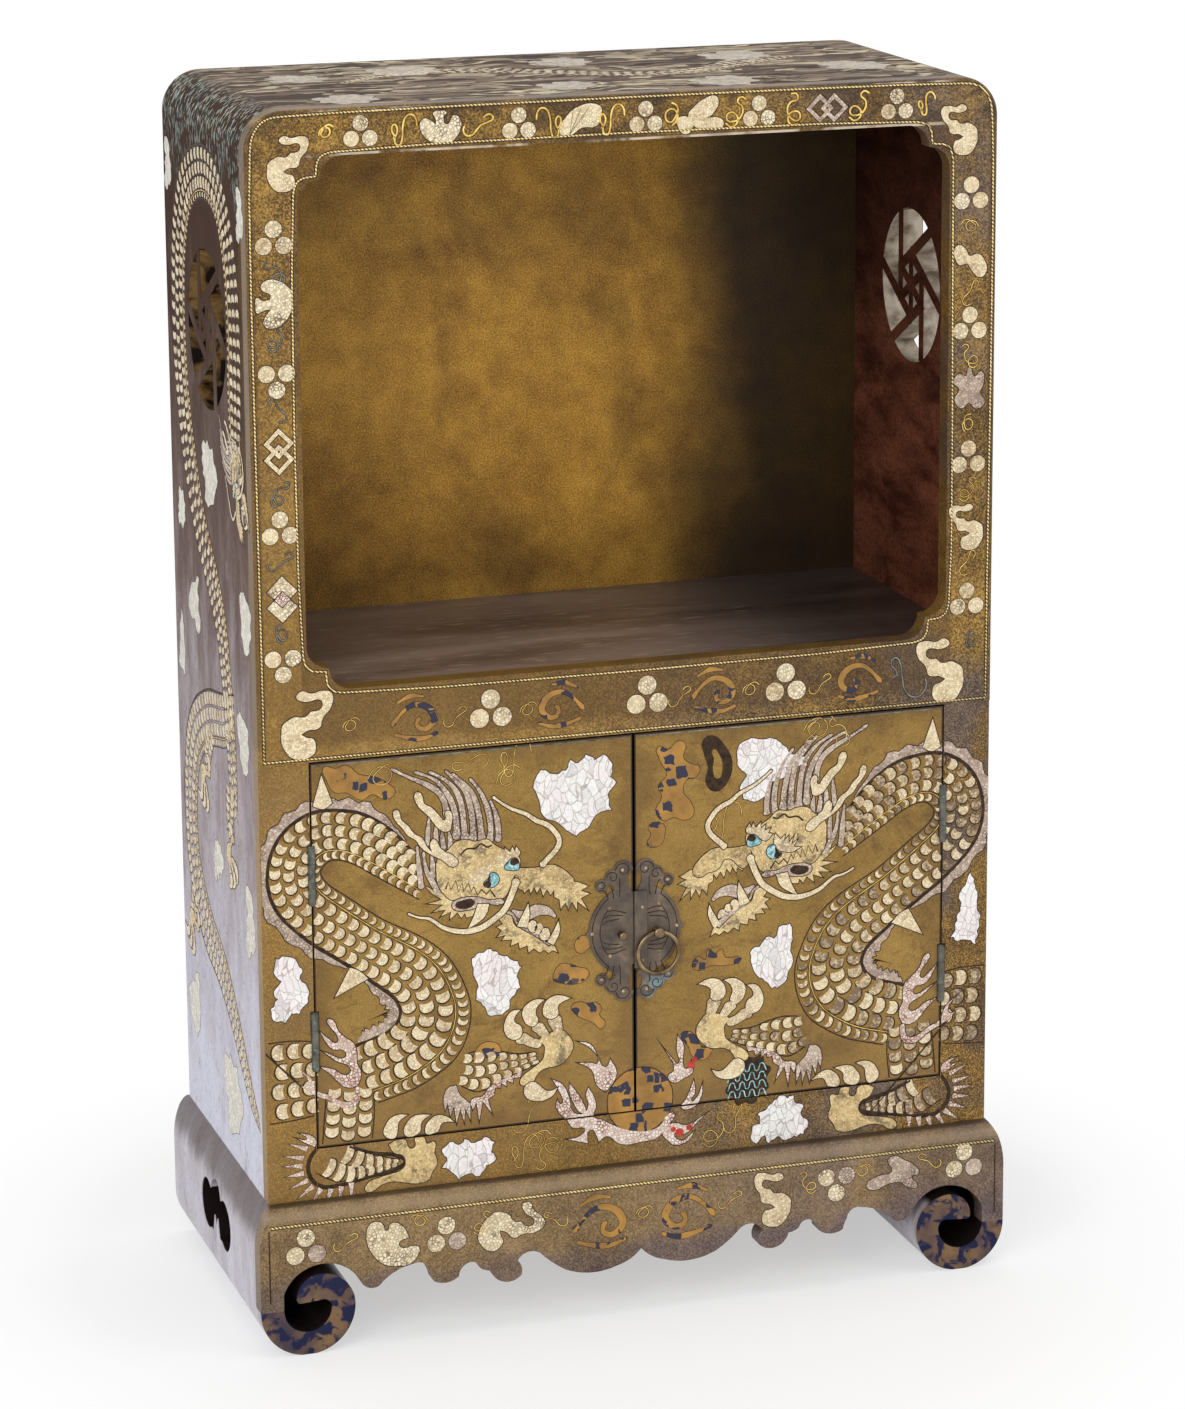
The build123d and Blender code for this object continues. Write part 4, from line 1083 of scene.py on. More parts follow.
head = {
    # part: finish, level, tone, outlines
    "skull": ("face", "high", 0.6, [[(-156, 378), (-147, 385), (-142, 390), (-133, 391), (-126, 389),
              (-117, 390), (-111, 385), (-103, 380), (-93, 375), (-91, 368), (-96, 359), (-100, 349),
              (-104, 343), (-110, 342), (-124, 344), (-138, 346), (-145, 345), (-151, 350), (-156, 358),
              (-157, 367)]]),
    "snout": ("face", "high", 0.35, [[(-93, 364), (-86, 364), (-76, 364), (-66, 365), (-59, 362),
              (-52, 356), (-48, 350), (-49, 345), (-54, 343), (-60, 346), (-66, 347), (-70, 350),
              (-73, 355), (-79, 355), (-85, 349), (-89, 347), (-94, 353)]]),
    "cheek": ("face", "scale", 0.8, [[(-166, 358, 1), (-158, 353, 1), (-149, 349), (-142, 345),
              (-134, 336), (-125, 336), (-128, 331, 1), (-134, 330, 1), (-135, 334, 1), (-138, 330, 1),
              (-141, 335, 1), (-147, 330, 1), (-146, 336, 1), (-154, 333, 1), (-150, 338, 1),
              (-160, 337, 1), (-152, 342, 1), (-164, 344, 1), (-153, 346, 1), (-160, 351, 1)]]),
    "jaw": ("face", "high", 0.8, [[(-109, 327, 1), (-104, 330, 1), (-99, 328), (-96, 320), (-86, 314),
            (-77, 307), (-69, 300, 1), (-65, 302, 1), (-62, 295, 1), (-66, 297, 1), (-69, 295, 1),
            (-73, 298, 1), (-76, 296, 1), (-81, 300, 1), (-85, 297, 1), (-86, 303, 1), (-92, 301, 1),
            (-93, 306, 1), (-99, 304, 1), (-98, 309, 1), (-106, 309, 1), (-103, 313, 1), (-110, 312, 1),
            (-106, 317, 1), (-110, 320, 1), (-105, 322, 1)]]),
    "palate": ("fin", "scale", 0.8, [[(-98, 332), (-93, 331), (-86, 331), (-82, 334), (-75, 334),
               (-68, 331), (-64, 326), (-63, 323), (-68, 325), (-75, 326), (-79, 325), (-86, 323),
               (-92, 325)]]),
    "gum": ("fin", "top", 0.6, [[(-102, 331), (-98, 328), (-94, 320), (-86, 314), (-77, 308),
            (-69, 301, 1), (-64, 305), (-61, 313), (-61, 320, 1), (-65, 312), (-68, 306, 1), (-76, 312),
            (-85, 317), (-93, 321), (-96, 328)]]),
    "mouth": ("fin", "top", 0.7, [[(-145, 342), (-141, 345), (-134, 346), (-124, 345), (-116, 342),
              (-104, 340), (-106, 338), (-116, 339), (-125, 340), (-127, 337), (-134, 336), (-140, 336),
              (-144, 338)]]),
    "throat": ("groove", "crown", 0.5, [[(-142, 341), (-138, 343), (-128, 342), (-130, 339), (-138, 338)]]),
    "browA": ("skin", "top", 0.6, [[(-136, 359, 1), (-130, 360, 1), (-133, 365, 1), (-128, 362, 1),
              (-130, 368, 1), (-126, 363, 1), (-126, 369, 1), (-122, 365, 1), (-123, 370, 1),
              (-119, 367, 1), (-115, 372, 1), (-114, 364), (-116, 359), (-122, 357), (-129, 356)]]),
    "browB": ("skin", "top", 0.6, [[(-113, 372, 1), (-109, 373, 1), (-111, 377, 1), (-106, 375, 1),
              (-107, 380, 1), (-103, 377, 1), (-103, 382, 1), (-99, 378, 1), (-97, 382, 1),
              (-95, 378, 1), (-94, 382, 1), (-91, 376), (-97, 373), (-102, 370), (-107, 367)]]),
    "eyeA": ("abalone", "crown", 0.5, [[(-120, 355), (-116, 359), (-114, 363), (-110, 362), (-108, 357),
             (-111, 353), (-115, 352)]]),
    "eyeB": ("abalone", "crown", 0.5, [[(-103, 366), (-101, 370), (-95, 373), (-92, 368), (-93, 364),
             (-98, 364)]]),
    "hornA": ("skin", "top", 0.9, [[(-190, 418), (-188, 420), (-185, 417), (-184, 412), (-179, 407),
              (-174, 400), (-168, 396), (-163, 387), (-156, 382), (-150, 383), (-142, 378), (-140, 374),
              (-144, 371), (-152, 377), (-162, 383), (-169, 389), (-173, 395), (-179, 399), (-183, 405),
              (-188, 411)]]),
    "twig": ("skin", "top", 0.8, [[(-160, 394), (-157, 393), (-154, 387), (-150, 382), (-156, 381),
             (-160, 384)]]),
    "hornB": ("skin", "top", 0.9, [[(-173, 431), (-170, 432), (-167, 428), (-166, 423), (-160, 419),
              (-154, 412), (-150, 408), (-149, 415), (-146, 415), (-144, 411), (-145, 404), (-146, 400),
              (-152, 400), (-158, 406), (-162, 412), (-168, 418), (-171, 422)]]),
    "teeth": ("skin", "crown", 1.0, [[(-125, 340, 1), (-116, 339, 1), (-119, 330), (-127, 324),
              (-133, 321, 1), (-128, 331)], [(-85, 336, 1), (-84, 327), (-86, 317, 1), (-94, 319, 1),
              (-90, 327)], [(-61, 320, 1), (-60, 312), (-65, 301, 1), (-70, 304, 1), (-65, 312)],
              [(-83, 322), (-79, 321), (-80, 313), (-85, 316)], [(-78, 319), (-74, 318), (-76, 311),
              (-80, 313)], [(-73, 315), (-69, 314), (-70, 306), (-76, 308)]]),
}
snoutFringe = [(-89, 349, 1), (-88, 345, 1), (-84, 348, 1), (-83, 344, 1), (-80, 349, 1), (-78, 344, 1),
               (-75, 348, 1), (-73, 341, 1), (-70, 346, 1), (-67, 341, 1), (-64, 345, 1), (-64, 339, 1),
               (-60, 337, 1), (-59, 329, 1), (-55, 334, 1), (-53, 328, 1), (-50, 334, 1), (-46, 327, 1),
               (-46, 334, 1), (-38, 327, 1), (-43, 336, 1), (-36, 339, 1), (-43, 342, 1), (-37, 345, 1),
               (-45, 349, 1), (-51, 350, 1), (-72, 356, 1), (-85, 354, 1)]
pupils = [[(-120, 355), (-117, 358), (-115, 361), (-115, 357), (-114, 354), (-116, 352), (-118, 353)],
          [(-99, 371), (-95, 373), (-92, 370), (-94, 368), (-98, 368)]]
creases = [[(-150, 354, 1), (-148, 360, 1), (-146, 353, 1), (-142, 360, 1), (-140, 351, 1), (-137, 358, 1),
            (-136, 351, 1), (-132, 357, 1), (-130, 350, 1), (-128, 354, 1), (-125, 347, 1), (-122, 351, 1),
            (-118, 347, 1), (-115, 350, 1), (-111, 344, 1)],
           [(-138, 380), (-133, 384), (-126, 384), (-122, 387), (-117, 384), (-113, 385)]]
mane = [[(-108, 388), (-108, 398), (-110, 410), (-114, 420)],
        [(-115, 388), (-114, 399), (-116, 413), (-122, 428), (-130, 439)],
        [(-121, 389), (-122, 402), (-124, 414), (-128, 427), (-136, 437), (-144, 444)],
        [(-128, 390), (-128, 403), (-130, 418), (-134, 430), (-142, 439), (-149, 447)],
        [(-134, 390), (-135, 404), (-137, 420), (-142, 432), (-151, 441), (-162, 447)],
        [(-141, 393), (-141, 407), (-144, 421), (-150, 432), (-158, 441), (-173, 448)],
        [(-148, 411), (-150, 422), (-155, 431), (-165, 438), (-177, 444), (-191, 452)],
        [(-164, 390), (-163, 402), (-162, 413)], [(-157, 392), (-157, 399), (-157, 406)],
        [(-151, 386), (-152, 394), (-152, 401)], [(-146, 385), (-146, 393), (-147, 399)],
        [(-160, 364), (-160, 375), (-161, 384)], [(-155, 351), (-160, 360), (-165, 371), (-167, 385)],
        [(-169, 357), (-170, 366), (-171, 378), (-172, 390)]]
whiskers = [([(-74, 365), (-69, 370), (-62, 377), (-60, 385), (-68, 396), (-78, 401), (-86, 407),
              (-97, 412), (-106, 418), (-112, 423)], 4.2, 3.6, 1.2),
            ([(-94, 356), (-97, 347), (-101, 338), (-105, 332), (-113, 326), (-122, 321), (-134, 319),
              (-145, 321), (-154, 325), (-163, 332), (-172, 334), (-180, 338)], 4.8, 4.4, 0.8)]
limbs = {
    "palm": ("face", "high", 0.7, [(-73, 221), (-77, 226), (-75, 228), (-68, 231), (-59, 232), (-53, 226),
             (-50, 219), (-54, 210), (-62, 204), (-72, 203), (-78, 200), (-84, 192), (-91, 191),
             (-93, 194), (-90, 199), (-84, 203), (-78, 207), (-74, 211), (-73, 216)]),
    "toeA": ("skin", "high", 0.5, [(-90, 233), (-82, 228), (-77, 226), (-76, 221), (-83, 221), (-89, 224),
             (-96, 227)]),
    "toeB": ("skin", "high", 0.5, [(-83, 236), (-76, 240), (-72, 235), (-70, 229), (-75, 228),
             (-79, 232)]),
    "toeC": ("skin", "high", 0.5, [(-70, 242), (-61, 244), (-59, 237), (-59, 232), (-64, 231),
             (-68, 236)]),
    "clawA": ("skin", "top", 1.0, [(-92, 252, 1), (-98, 252), (-102, 249), (-105, 242), (-105, 236),
              (-101, 230), (-94, 229), (-91, 233), (-92, 239), (-97, 243), (-96, 248)]),
    "clawB": ("skin", "top", 1.0, [(-73, 258, 1), (-79, 259), (-85, 257), (-90, 252), (-90, 245),
              (-86, 239), (-81, 238), (-78, 242), (-80, 248), (-78, 254)]),
    "clawC": ("skin", "top", 1.0, [(-52, 257, 1), (-59, 260), (-66, 260), (-71, 257), (-74, 251),
              (-73, 245), (-67, 242), (-62, 245), (-62, 252), (-58, 255)]),
    "clawD": ("skin", "top", 1.0, [(-63, 186, 1), (-69, 184), (-74, 186), (-78, 190), (-83, 193),
              (-88, 191), (-90, 186), (-87, 180), (-79, 177), (-71, 178), (-66, 181)]),
    "spurA": ("skin", "high", 0.8, [(-183, 178, 1), (-189, 179), (-196, 177), (-200, 172), (-202, 166),
              (-198, 161), (-193, 161), (-191, 166), (-190, 173)]),
    "spurB": ("skin", "high", 0.8, [(-165, 176, 1), (-172, 177), (-179, 176), (-183, 172), (-186, 166),
              (-184, 161), (-177, 161), (-173, 164), (-172, 171)]),
    "spurC": ("skin", "high", 0.8, [(-146, 168, 1), (-152, 173), (-159, 175), (-165, 172), (-169, 166),
              (-168, 161), (-162, 161), (-159, 162), (-156, 168), (-151, 169)]),
    "hand": ("flame", "high", 0.3, [(-244, 261), (-240, 260), (-236, 251), (-229, 244), (-225, 241),
             (-222, 234), (-222, 224), (-219, 217), (-220, 210), (-223, 206), (-231, 206), (-237, 211),
             (-242, 217), (-250, 224, 1), (-240, 221), (-233, 216), (-227, 217), (-228, 222),
             (-237, 227), (-248, 236, 1), (-242, 233), (-234, 229), (-230, 231), (-233, 236),
             (-240, 237), (-246, 244), (-250, 252, 1), (-244, 246), (-237, 242), (-237, 248),
             (-242, 255)]),
    "thumb": ("flame", "high", 0.2, [(-222, 206), (-220, 199), (-223, 191), (-231, 189), (-238, 192),
              (-244, 197), (-253, 201), (-262, 207), (-271, 216, 1), (-263, 210), (-260, 214),
              (-266, 223, 1), (-258, 216), (-253, 205), (-244, 201), (-238, 197), (-231, 194),
              (-225, 196), (-224, 201)]),
    "armHair": ("flame", "scale", 0.3, [(-91, 203, 1), (-98, 200), (-109, 197), (-118, 192), (-123, 186),
                (-132, 184), (-131, 176, 1), (-128, 182, 1), (-126, 167, 1), (-123, 182, 1),
                (-116, 172, 1), (-119, 183, 1), (-114, 186, 1), (-113, 192, 1), (-109, 191, 1),
                (-108, 195, 1), (-104, 192, 1), (-104, 197, 1), (-99, 194, 1), (-98, 198, 1),
                (-93, 198, 1)]),
    "elbowHair": ("fin", "scale", 0.9, [(-144, 197, 1), (-150, 196), (-154, 188), (-153, 178, 1),
                  (-151, 184, 1), (-149, 173, 1), (-146, 181, 1), (-144, 167, 1), (-141, 178, 1),
                  (-138, 167, 1), (-137, 178, 1), (-133, 168, 1), (-133, 181, 1), (-137, 185),
                  (-141, 189)]),
    "railPaw": ("face", "high", 0.5, [(-198, 156, 1), (-194, 158), (-185, 158), (-182, 151), (-177, 152),
                (-177, 159), (-170, 158), (-168, 153), (-162, 154), (-162, 145), (-160, 136),
                (-164, 130), (-167, 124), (-176, 122), (-186, 124), (-196, 126), (-205, 124),
                (-212, 120), (-217, 121), (-215, 127), (-207, 130), (-197, 132), (-189, 134),
                (-185, 139), (-187, 146), (-194, 149)]),
    "brush": ("flame", "scale", 0.4, [(-256, 161, 1), (-263, 165), (-269, 169, 1), (-262, 168),
              (-267, 173, 1), (-260, 171), (-255, 166)]),
    "horn": ("skin", "high", 0.9, [(-252, 429, 1), (-245, 452, 1), (-237, 430, 1), (-244, 426)]),
    "bodyHorn": ("skin", "high", 0.8, [(-226, 300, 1), (-238, 278, 1), (-212, 290, 1), (-219, 297)]),
}
tailEdge = [(-229, 158), (-213, 151), (-189, 145), (-185, 141), (-189, 137), (-214, 132), (-238, 128),
            (-252, 129), (-261, 140), (-260, 152), (-254, 160)]
tailHair = [(-262, 160, 158), (-265, 153, 168), (-266, 147, 176), (-265, 141, 186), (-262, 135, 200),
            (-258, 130, 216), (-252, 127, 236), (-244, 126, 250), (-236, 127, 262), (-228, 129, 268)]


def finBand(ground, edge, start, stop, flip, wide=7.0):
    # wavy crest along the back of the body
    line = along(mirrored(edge, flip), 120)[start:stop]
    near, far = [], []
    for i, (spot, way) in enumerate(line):
        out = Vector((way.y, -way.x)) * flip
        ease = min(1.0, i / 8, (len(line) - i) / 8)
        near.append(tuple(spot + out * 1.6))
        far.append(tuple(spot + out * (2.0 + (wide + 1.7 * math.sin(i * 1.7)) * ease)))
    inlay(ground, "fin", [near + far[::-1]], "low", tone=0.55, steps=1)


def layHead(ground, put):
    # mane, snout, jaws, horns, eyes and whiskers, each outline moved by put()
    for points in mane:
        wide = 4.2 if len(points) > 3 else 3.6
        inlay(ground, "fin", [put(strand(points, wide, wide, 1.0))], "scale", tone=random.uniform(0.5, 1.0))
    inlay(ground, "face", [put(snoutFringe)], "scale", tone=0.8)
    for finish, level, tone, outlines in head.values():
        inlay(ground, finish, [put(outline) for outline in outlines], level, tone)
    for outline in pupils:
        inlay(ground, "groove", [put(outline)], "pupil", rim=0)
    wire(ground, [put(line) for line in creases], 0.7, "groove", 4, lifts["high"] + 0.06)
    for points, start, middle, end in whiskers:
        inlay(ground, "skin", [put(strand(points, start, middle, end, 19))], "crown", tone=1.0)


def layDragon(flip, tones):
    ground = "doors"
    for start, stop in ((2, 58), (60, 112)):
        finBand(ground, dragon["loop"][1], start, stop, flip)
    scaledBody(ground, *dragon["loop"], 3, 0.21, tones, flip)
    scaledBody(ground, *dragon["hind"], 4, 0, tones, flip, (0.3, 8.0))
    scaledBody(ground, *dragon["root"], 3, 0, tones, flip)
    scaledBody(ground, *dragon["tail"], 2, 0, tones, flip, (0.3, 4.0))
    scaledBody(ground, *dragon["arm"], 3, 0, tones, flip)
    wire(ground, [mirrored(dragon["loop"][1], flip)], 1.1, "groove", 6)
    wire(ground, [mirrored(tailEdge, flip)], 1.6, "groove", 6)
    for x, z, turn in tailHair:
        tip = [(0, -2.2, 1), (15, 0, 1), (0, 2.2, 1)]
        hair = mirrored(place(tip, x, z, turn), flip)
        inlay(ground, "flame", [hair], "scale", tone=0.2, steps=1, rim=0.4)
    for finish, level, tone, outline in limbs.values():
        inlay(ground, finish, [mirrored(outline, flip)], level, tone)
    layHead(ground, lambda outline: mirrored(outline, flip))


layDragon(1, (0.45, 1.0))
random.seed(5)
layDragon(-1, (-0.45, 0.95))
print("front dragons laid")


# clouds, horn patches and the flaming pearl
pearlClouds = [
    [(-80, 427), (-74, 440), (-63, 436), (-54, 438), (-50, 446), (-44, 443), (-38, 449), (-31, 444),
     (-24, 448), (-17, 440), (-19, 430), (-14, 425), (-21, 416), (-18, 404), (-30, 401), (-36, 392),
     (-46, 386), (-54, 391), (-62, 399), (-72, 404), (-75, 416)],
    [(-130, 297), (-124, 301), (-115, 303), (-109, 298), (-102, 296), (-94, 291), (-91, 286),
     (-95, 279), (-92, 270), (-99, 263), (-101, 254), (-110, 250), (-118, 251), (-122, 259),
     (-127, 264), (-125, 274), (-129, 284)],
    [(-283, 313), (-276, 314), (-268, 311), (-263, 303), (-265, 296), (-259, 288), (-259, 276),
     (-266, 268), (-272, 269), (-277, 262), (-286, 265), (-288, 274), (-282, 281), (-285, 288),
     (-279, 295), (-285, 303)],
    [(-156, 147), (-150, 152), (-143, 149), (-138, 153), (-130, 149), (-122, 153), (-114, 148),
     (-117, 140), (-113, 134), (-121, 130), (-126, 122), (-135, 125), (-143, 121), (-149, 128),
     (-156, 132), (-152, 140)],
    [(84, 436), (86, 446), (96, 450), (108, 448), (116, 447), (121, 442), (128, 434), (139, 431),
     (140, 424), (130, 425), (124, 424), (122, 416), (112, 414), (107, 403), (98, 399), (89, 402),
     (86, 411), (92, 420), (86, 427)],
    [(118, 296), (127, 298), (129, 288), (128, 280), (130, 268), (125, 254), (117, 247), (111, 249),
     (105, 256), (98, 262), (95, 272), (96, 280), (104, 284), (108, 289), (114, 287)],
    [(278, 324), (281, 316), (284, 308), (284, 296), (287, 288), (284, 276), (283, 265), (277, 269),
     (268, 269), (262, 273), (266, 280), (267, 289), (270, 296), (269, 308), (274, 314)],
    [(115, 155), (121, 158), (126, 155), (131, 157), (133, 150), (139, 147), (137, 140), (143, 133),
     (139, 124), (131, 124), (124, 121), (117, 125), (110, 120), (107, 127), (100, 121), (95, 127),
     (97, 136), (103, 137), (101, 145), (108, 148)],
]
hornPatches = [
    [(-243, 458), (-234, 456), (-226, 458), (-216, 450), (-204, 447), (-194, 441), (-188, 434),
     (-196, 429), (-206, 434), (-214, 430), (-226, 437), (-235, 438), (-241, 448)],
    [(-64, 280), (-59, 285), (-52, 284), (-45, 281), (-37, 277), (-40, 270), (-47, 268), (-59, 270),
     (-65, 273)],
    [(-51, 250), (-47, 253), (-37, 251), (-31, 251), (-27, 246), (-29, 241), (-24, 234), (-28, 230),
     (-33, 235), (-41, 239), (-47, 243)],
    [(-48, 300), (-42, 306), (-34, 304), (-30, 310), (-27, 302), (-36, 296), (-44, 292)],
    [(20, 450), (28, 447), (36, 453), (42, 450), (40, 440), (46, 434), (53, 431), (50, 423),
     (43, 422), (40, 412), (46, 404), (48, 393), (40, 390), (32, 393), (24, 391), (18, 400),
     (23, 410), (20, 419), (27, 427), (22, 438)],
    [(12, 388), (24, 388), (25, 380), (21, 372), (11, 373), (14, 381)],
    [(47, 272), (52, 279), (58, 276), (60, 284), (66, 280), (71, 283), (74, 276), (87, 274),
     (74, 270), (62, 271), (52, 268)],
    [(38, 218), (45, 219), (50, 214), (56, 205), (63, 207), (62, 200), (56, 195), (47, 199), (44, 207)],
    [(-128, 213), (-122, 217), (-112, 216), (-108, 222), (-116, 229), (-126, 226)],
]
# tongues of fire round the pearl
flames = [
    [(-45, 221, 1), (-36, 218), (-30, 207), (-24, 198), (-20, 204, 1), (-15, 193), (-18, 185),
     (-24, 178, 1), (-31, 184), (-35, 197), (-46, 204, 1), (-36, 203), (-30, 202), (-35, 214)],
    [(-67, 193, 1), (-59, 188), (-54, 178), (-50, 164), (-41, 163), (-38, 170), (-40, 177),
     (-38, 183, 1), (-34, 176), (-32, 167), (-34, 159), (-28, 156), (-18, 150), (-7, 145), (8, 142),
     (20, 145), (27, 154), (32, 154), (28, 146), (22, 139), (16, 135), (5, 134), (-7, 133),
     (-14, 135), (-23, 142), (-30, 138, 1), (-31, 142), (-37, 149), (-39, 138, 1), (-55, 143, 1),
     (-46, 144), (-41, 150), (-51, 152), (-55, 158), (-64, 170), (-63, 176, 1), (-60, 172),
     (-62, 184)],
    [(-53, 188, 1), (-48, 181), (-42, 170), (-41, 163), (-45, 164), (-50, 172), (-53, 180)],
    [(35, 217, 1), (40, 208), (39, 198), (42, 189), (46, 195, 1), (47, 186), (40, 182), (32, 179),
     (27, 185), (32, 189), (25, 206, 1), (32, 197), (35, 194), (34, 206)],
    [(28, 131), (22, 141), (31, 146), (42, 143), (57, 150, 1), (51, 145), (40, 136), (32, 138),
     (37, 131), (48, 137, 1), (44, 131), (32, 128)],
    [(48, 179, 1), (49, 169), (46, 162), (50, 164), (55, 175, 1), (54, 165), (47, 157), (38, 158),
     (42, 165)],
]


def lowerFrontMotifs():
    ground = "doors"
    for outline in pearlClouds:
        inlay(ground, "pearl", [ragged(outline, 1.3)], "scale", rim=0.7)
    for outline in hornPatches:
        inlay(ground, "shell", [outline], "low", rim=0.5)
    ringOut = [(56, 452), (64, 455), (74, 446), (80, 432), (75, 415), (66, 410), (58, 418), (60, 430),
               (57, 440)]
    ringIn = [(64, 444), (70, 438), (72, 428), (68, 420), (64, 428), (65, 436)]
    inlay(ground, "groove", [ringOut, ringIn], "scale", rim=0)
    inlay(ground, "shell", [disc(4, 168, 26.5)], "low", rim=0.8)
    for outline in flames:
        inlay(ground, "flame", [outline], "scale", tone=0.6)
    for x, z, r in ((46, 192, 3.0), (49, 196, 2.2), (36, 138, 3.4), (44, 141, 2.4), (31, 141, 2.2)):
        inlay(ground, "red", [disc(x, z, r)], "high", rim=0)
    # fine wire clouds
    knots = [(-198, 446, "loop", 1.4, 0), (-92, 452, "bridge", 1.2, 0), (-86, 168, "cup", 1.3, 30),
             (-100, 436, "loop", 1.2, 20), (76, 386, "bridge", 1.3, 0), (150, 452, "loop", 1.5, 0),
             (66, 136, "tail", 1.2, 0), (82, 145, "cup", 1.0, 40), (-88, 138, "bridge", 1.1, 0),
             (-72, 134, "tail", 1.1, 180), (-80, 144, "loop", 1.2, 0), (-130, 452, "cup", 1.1, 160),
             (140, 444, "cup", 1.3, 20), (168, 448, "tail", 1.0, 60)]
    for x, z, kind, size, turn in knots:
        curl(ground, x, z, kind, size, turn, 1, "wire", 0.36)
    inlay(ground, "groove", [place(paleCloud, 92, 174, 0, 1.0)], "low", rim=0)
    for dz in (-11, -4, 3, 10):
        wave = [(92 + t * 4 - 16, 174 + dz + 3.2 * (1 if t % 2 else -1)) for t in range(9)]
        wire(ground, [wave], 0.6, "abalone", 4)


lowerFrontMotifs()
print("lower front motifs laid")


# sides and top
sideDragon = {
    # edge lines of the long body on each side board: across from the middle, then height
    "arch": ([(66, 692), (62, 735), (64, 780), (58, 825), (40, 856), (14, 868), (-18, 866), (-46, 850),
              (-64, 815), (-70, 775), (-68, 735), (-60, 700), (-44, 662), (-22, 625), (12, 590),
              (36, 560), (50, 520), (58, 480), (62, 440), (60, 400)],
             [(98, 692), (104, 735), (106, 785), (98, 835), (72, 880), (28, 906), (-24, 906), (-74, 884),
              (-104, 840), (-114, 790), (-114, 735), (-104, 690), (-86, 645), (-56, 600), (-20, 566),
              (4, 540), (18, 510), (28, 475), (34, 440), (44, 402)]),
    "fold": ([(52, 470), (30, 452), (-20, 440), (-56, 420), (-72, 390), (-74, 350), (-60, 325),
              (-30, 300), (0, 285), (30, 262), (56, 235), (82, 205), (110, 176)],
             [(58, 500), (20, 492), (-40, 480), (-90, 452), (-112, 410), (-116, 350), (-100, 305),
              (-60, 268), (-14, 250), (20, 230), (50, 206), (80, 182), (108, 170)]),
}
sideArms = [([(-34, 452), (-44, 432), (-42, 414)], [(-8, 448), (-22, 430), (-28, 410)]),
            ([(26, 420), (24, 396), (34, 376)], [(52, 420), (46, 400), (50, 380)]),
            ([(-98, 312), (-106, 292), (-98, 276)], [(-74, 300), (-86, 286), (-84, 270)])]
sidePaw = {
    "parts": ("palm", "toeA", "toeB", "toeC", "clawA", "clawB", "clawC", "clawD"),
    "wrist": (-84, 208), "size": 0.62,      # where the wrist lies in the front dragon's drawing
    "places": [(-35, 410, 150), (42, 376, 190), (-90, 272, 130)],   # wrist, and the turn of the paw
}
sideHead = {"nape": (-157, 367), "spot": (80, 692), "size": 0.55}
sideClouds = [
    # which cloud outline, where its middle lies, turn and size
    (0, -6, 660, 90, 0.8), (3, -101, 612, 80, 0.75), (1, 102, 566, 0, 0.9), (2, 112, 872, 0, 0.8),
    (4, -62, 545, 60, 0.8), (1, 86, 470, 10, 0.9), (2, 92, 330, 0, 1.1), (5, -100, 210, 0, 1.1),
    (0, 20, 172, 90, 1.0), (7, -8, 352, 30, 0.8), (2, -118, 880, 0, 0.8), (6, -112, 500, 0, 0.9),
]


def cloudAt(which, x, z, turn, size):
    outline = pearlClouds[which]
    middle = [sum(spot[axis] for spot in outline) / len(outline) for axis in (0, 1)]
    return place([(spot[0] - middle[0], spot[1] - middle[1]) for spot in outline], x, z, turn, size)


def pawAt(outline, x, z, turn):
    # turns a part of the paw about its wrist and sets the wrist down at x, z
    (wristX, wristZ), size = sidePaw["wrist"], sidePaw["size"]
    near = [(spot[0] - wristX, spot[1] - wristZ, *spot[2:]) for spot in outline]
    return place(near, x, z, turn, size)


def headDown(outline):
    # the head hangs from the end of the arch, nose down
    (napeX, napeZ), (x, z), size = sideHead["nape"], sideHead["spot"], sideHead["size"]
    return [(x - size * (spot[1] - napeZ), z - size * (spot[0] - napeX), *spot[2:]) for spot in outline]


def layOnSides():
    for ground, flip in (("left", 1), ("right", -1)):
        for which, x, z, turn, size in sideClouds:
            cloud = mirrored(ragged(cloudAt(which, x, z, turn, size), 0.8), flip)
            inlay(ground, "paleSkin", [cloud], "low", tone=0.7, rim=0.4)
        for inner, outer in sideDragon.values():
            scaledBody(ground, inner, outer, 3, 0.16, (0.3, 0.95), flip, (0.2, 6.0))
            wire(ground, [mirrored(outer, flip)], 0.9, "groove", 6)
        for inner, outer in sideArms:
            scaledBody(ground, inner, outer, 2, 0, (0.3, 0.95), flip, (0.2, 5.0))
        for x, z, turn in sidePaw["places"]:
            for finish, level, tone, outline in [limbs[part] for part in sidePaw["parts"]]:
                inlay(ground, finish, [mirrored(pawAt(outline, x, z, turn), flip)], level, tone)
        layHead(ground, lambda outline: mirrored(headDown(outline), flip))


def layOnTop():
    ground = "top"
    for x, y, turn, size in ((-205, -88, 5, 1.3), (-120, 60, 0, 1.5), (10, 70, 10, 1.3), (150, 62, 0, 1.5),
                             (-30, -70, 0, 1.2), (90, -84, 4, 1.4), (215, -30, 60, 1.4),
                             (-210, 40, 60, 1.2)):
        inlay(ground, "duskySkin", [place(paleCloud, x, y, turn, size)], "low", tone=0.4, rim=0.4)
    loop = ([(-180, 0), (-130, 34), (-70, 30), (-20, 0), (30, -30), (90, -32), (140, 0), (196, 40)],
            [(-186, 6), (-132, 58), (-58, 56), (-6, 22), (38, -6), (84, -6), (126, 22), (192, 46)])
    scaledBody(ground, *loop, 3, 0.2, (0.0, 0.4))


layOnSides()
print("sides laid")
layOnTop()
print("top laid")


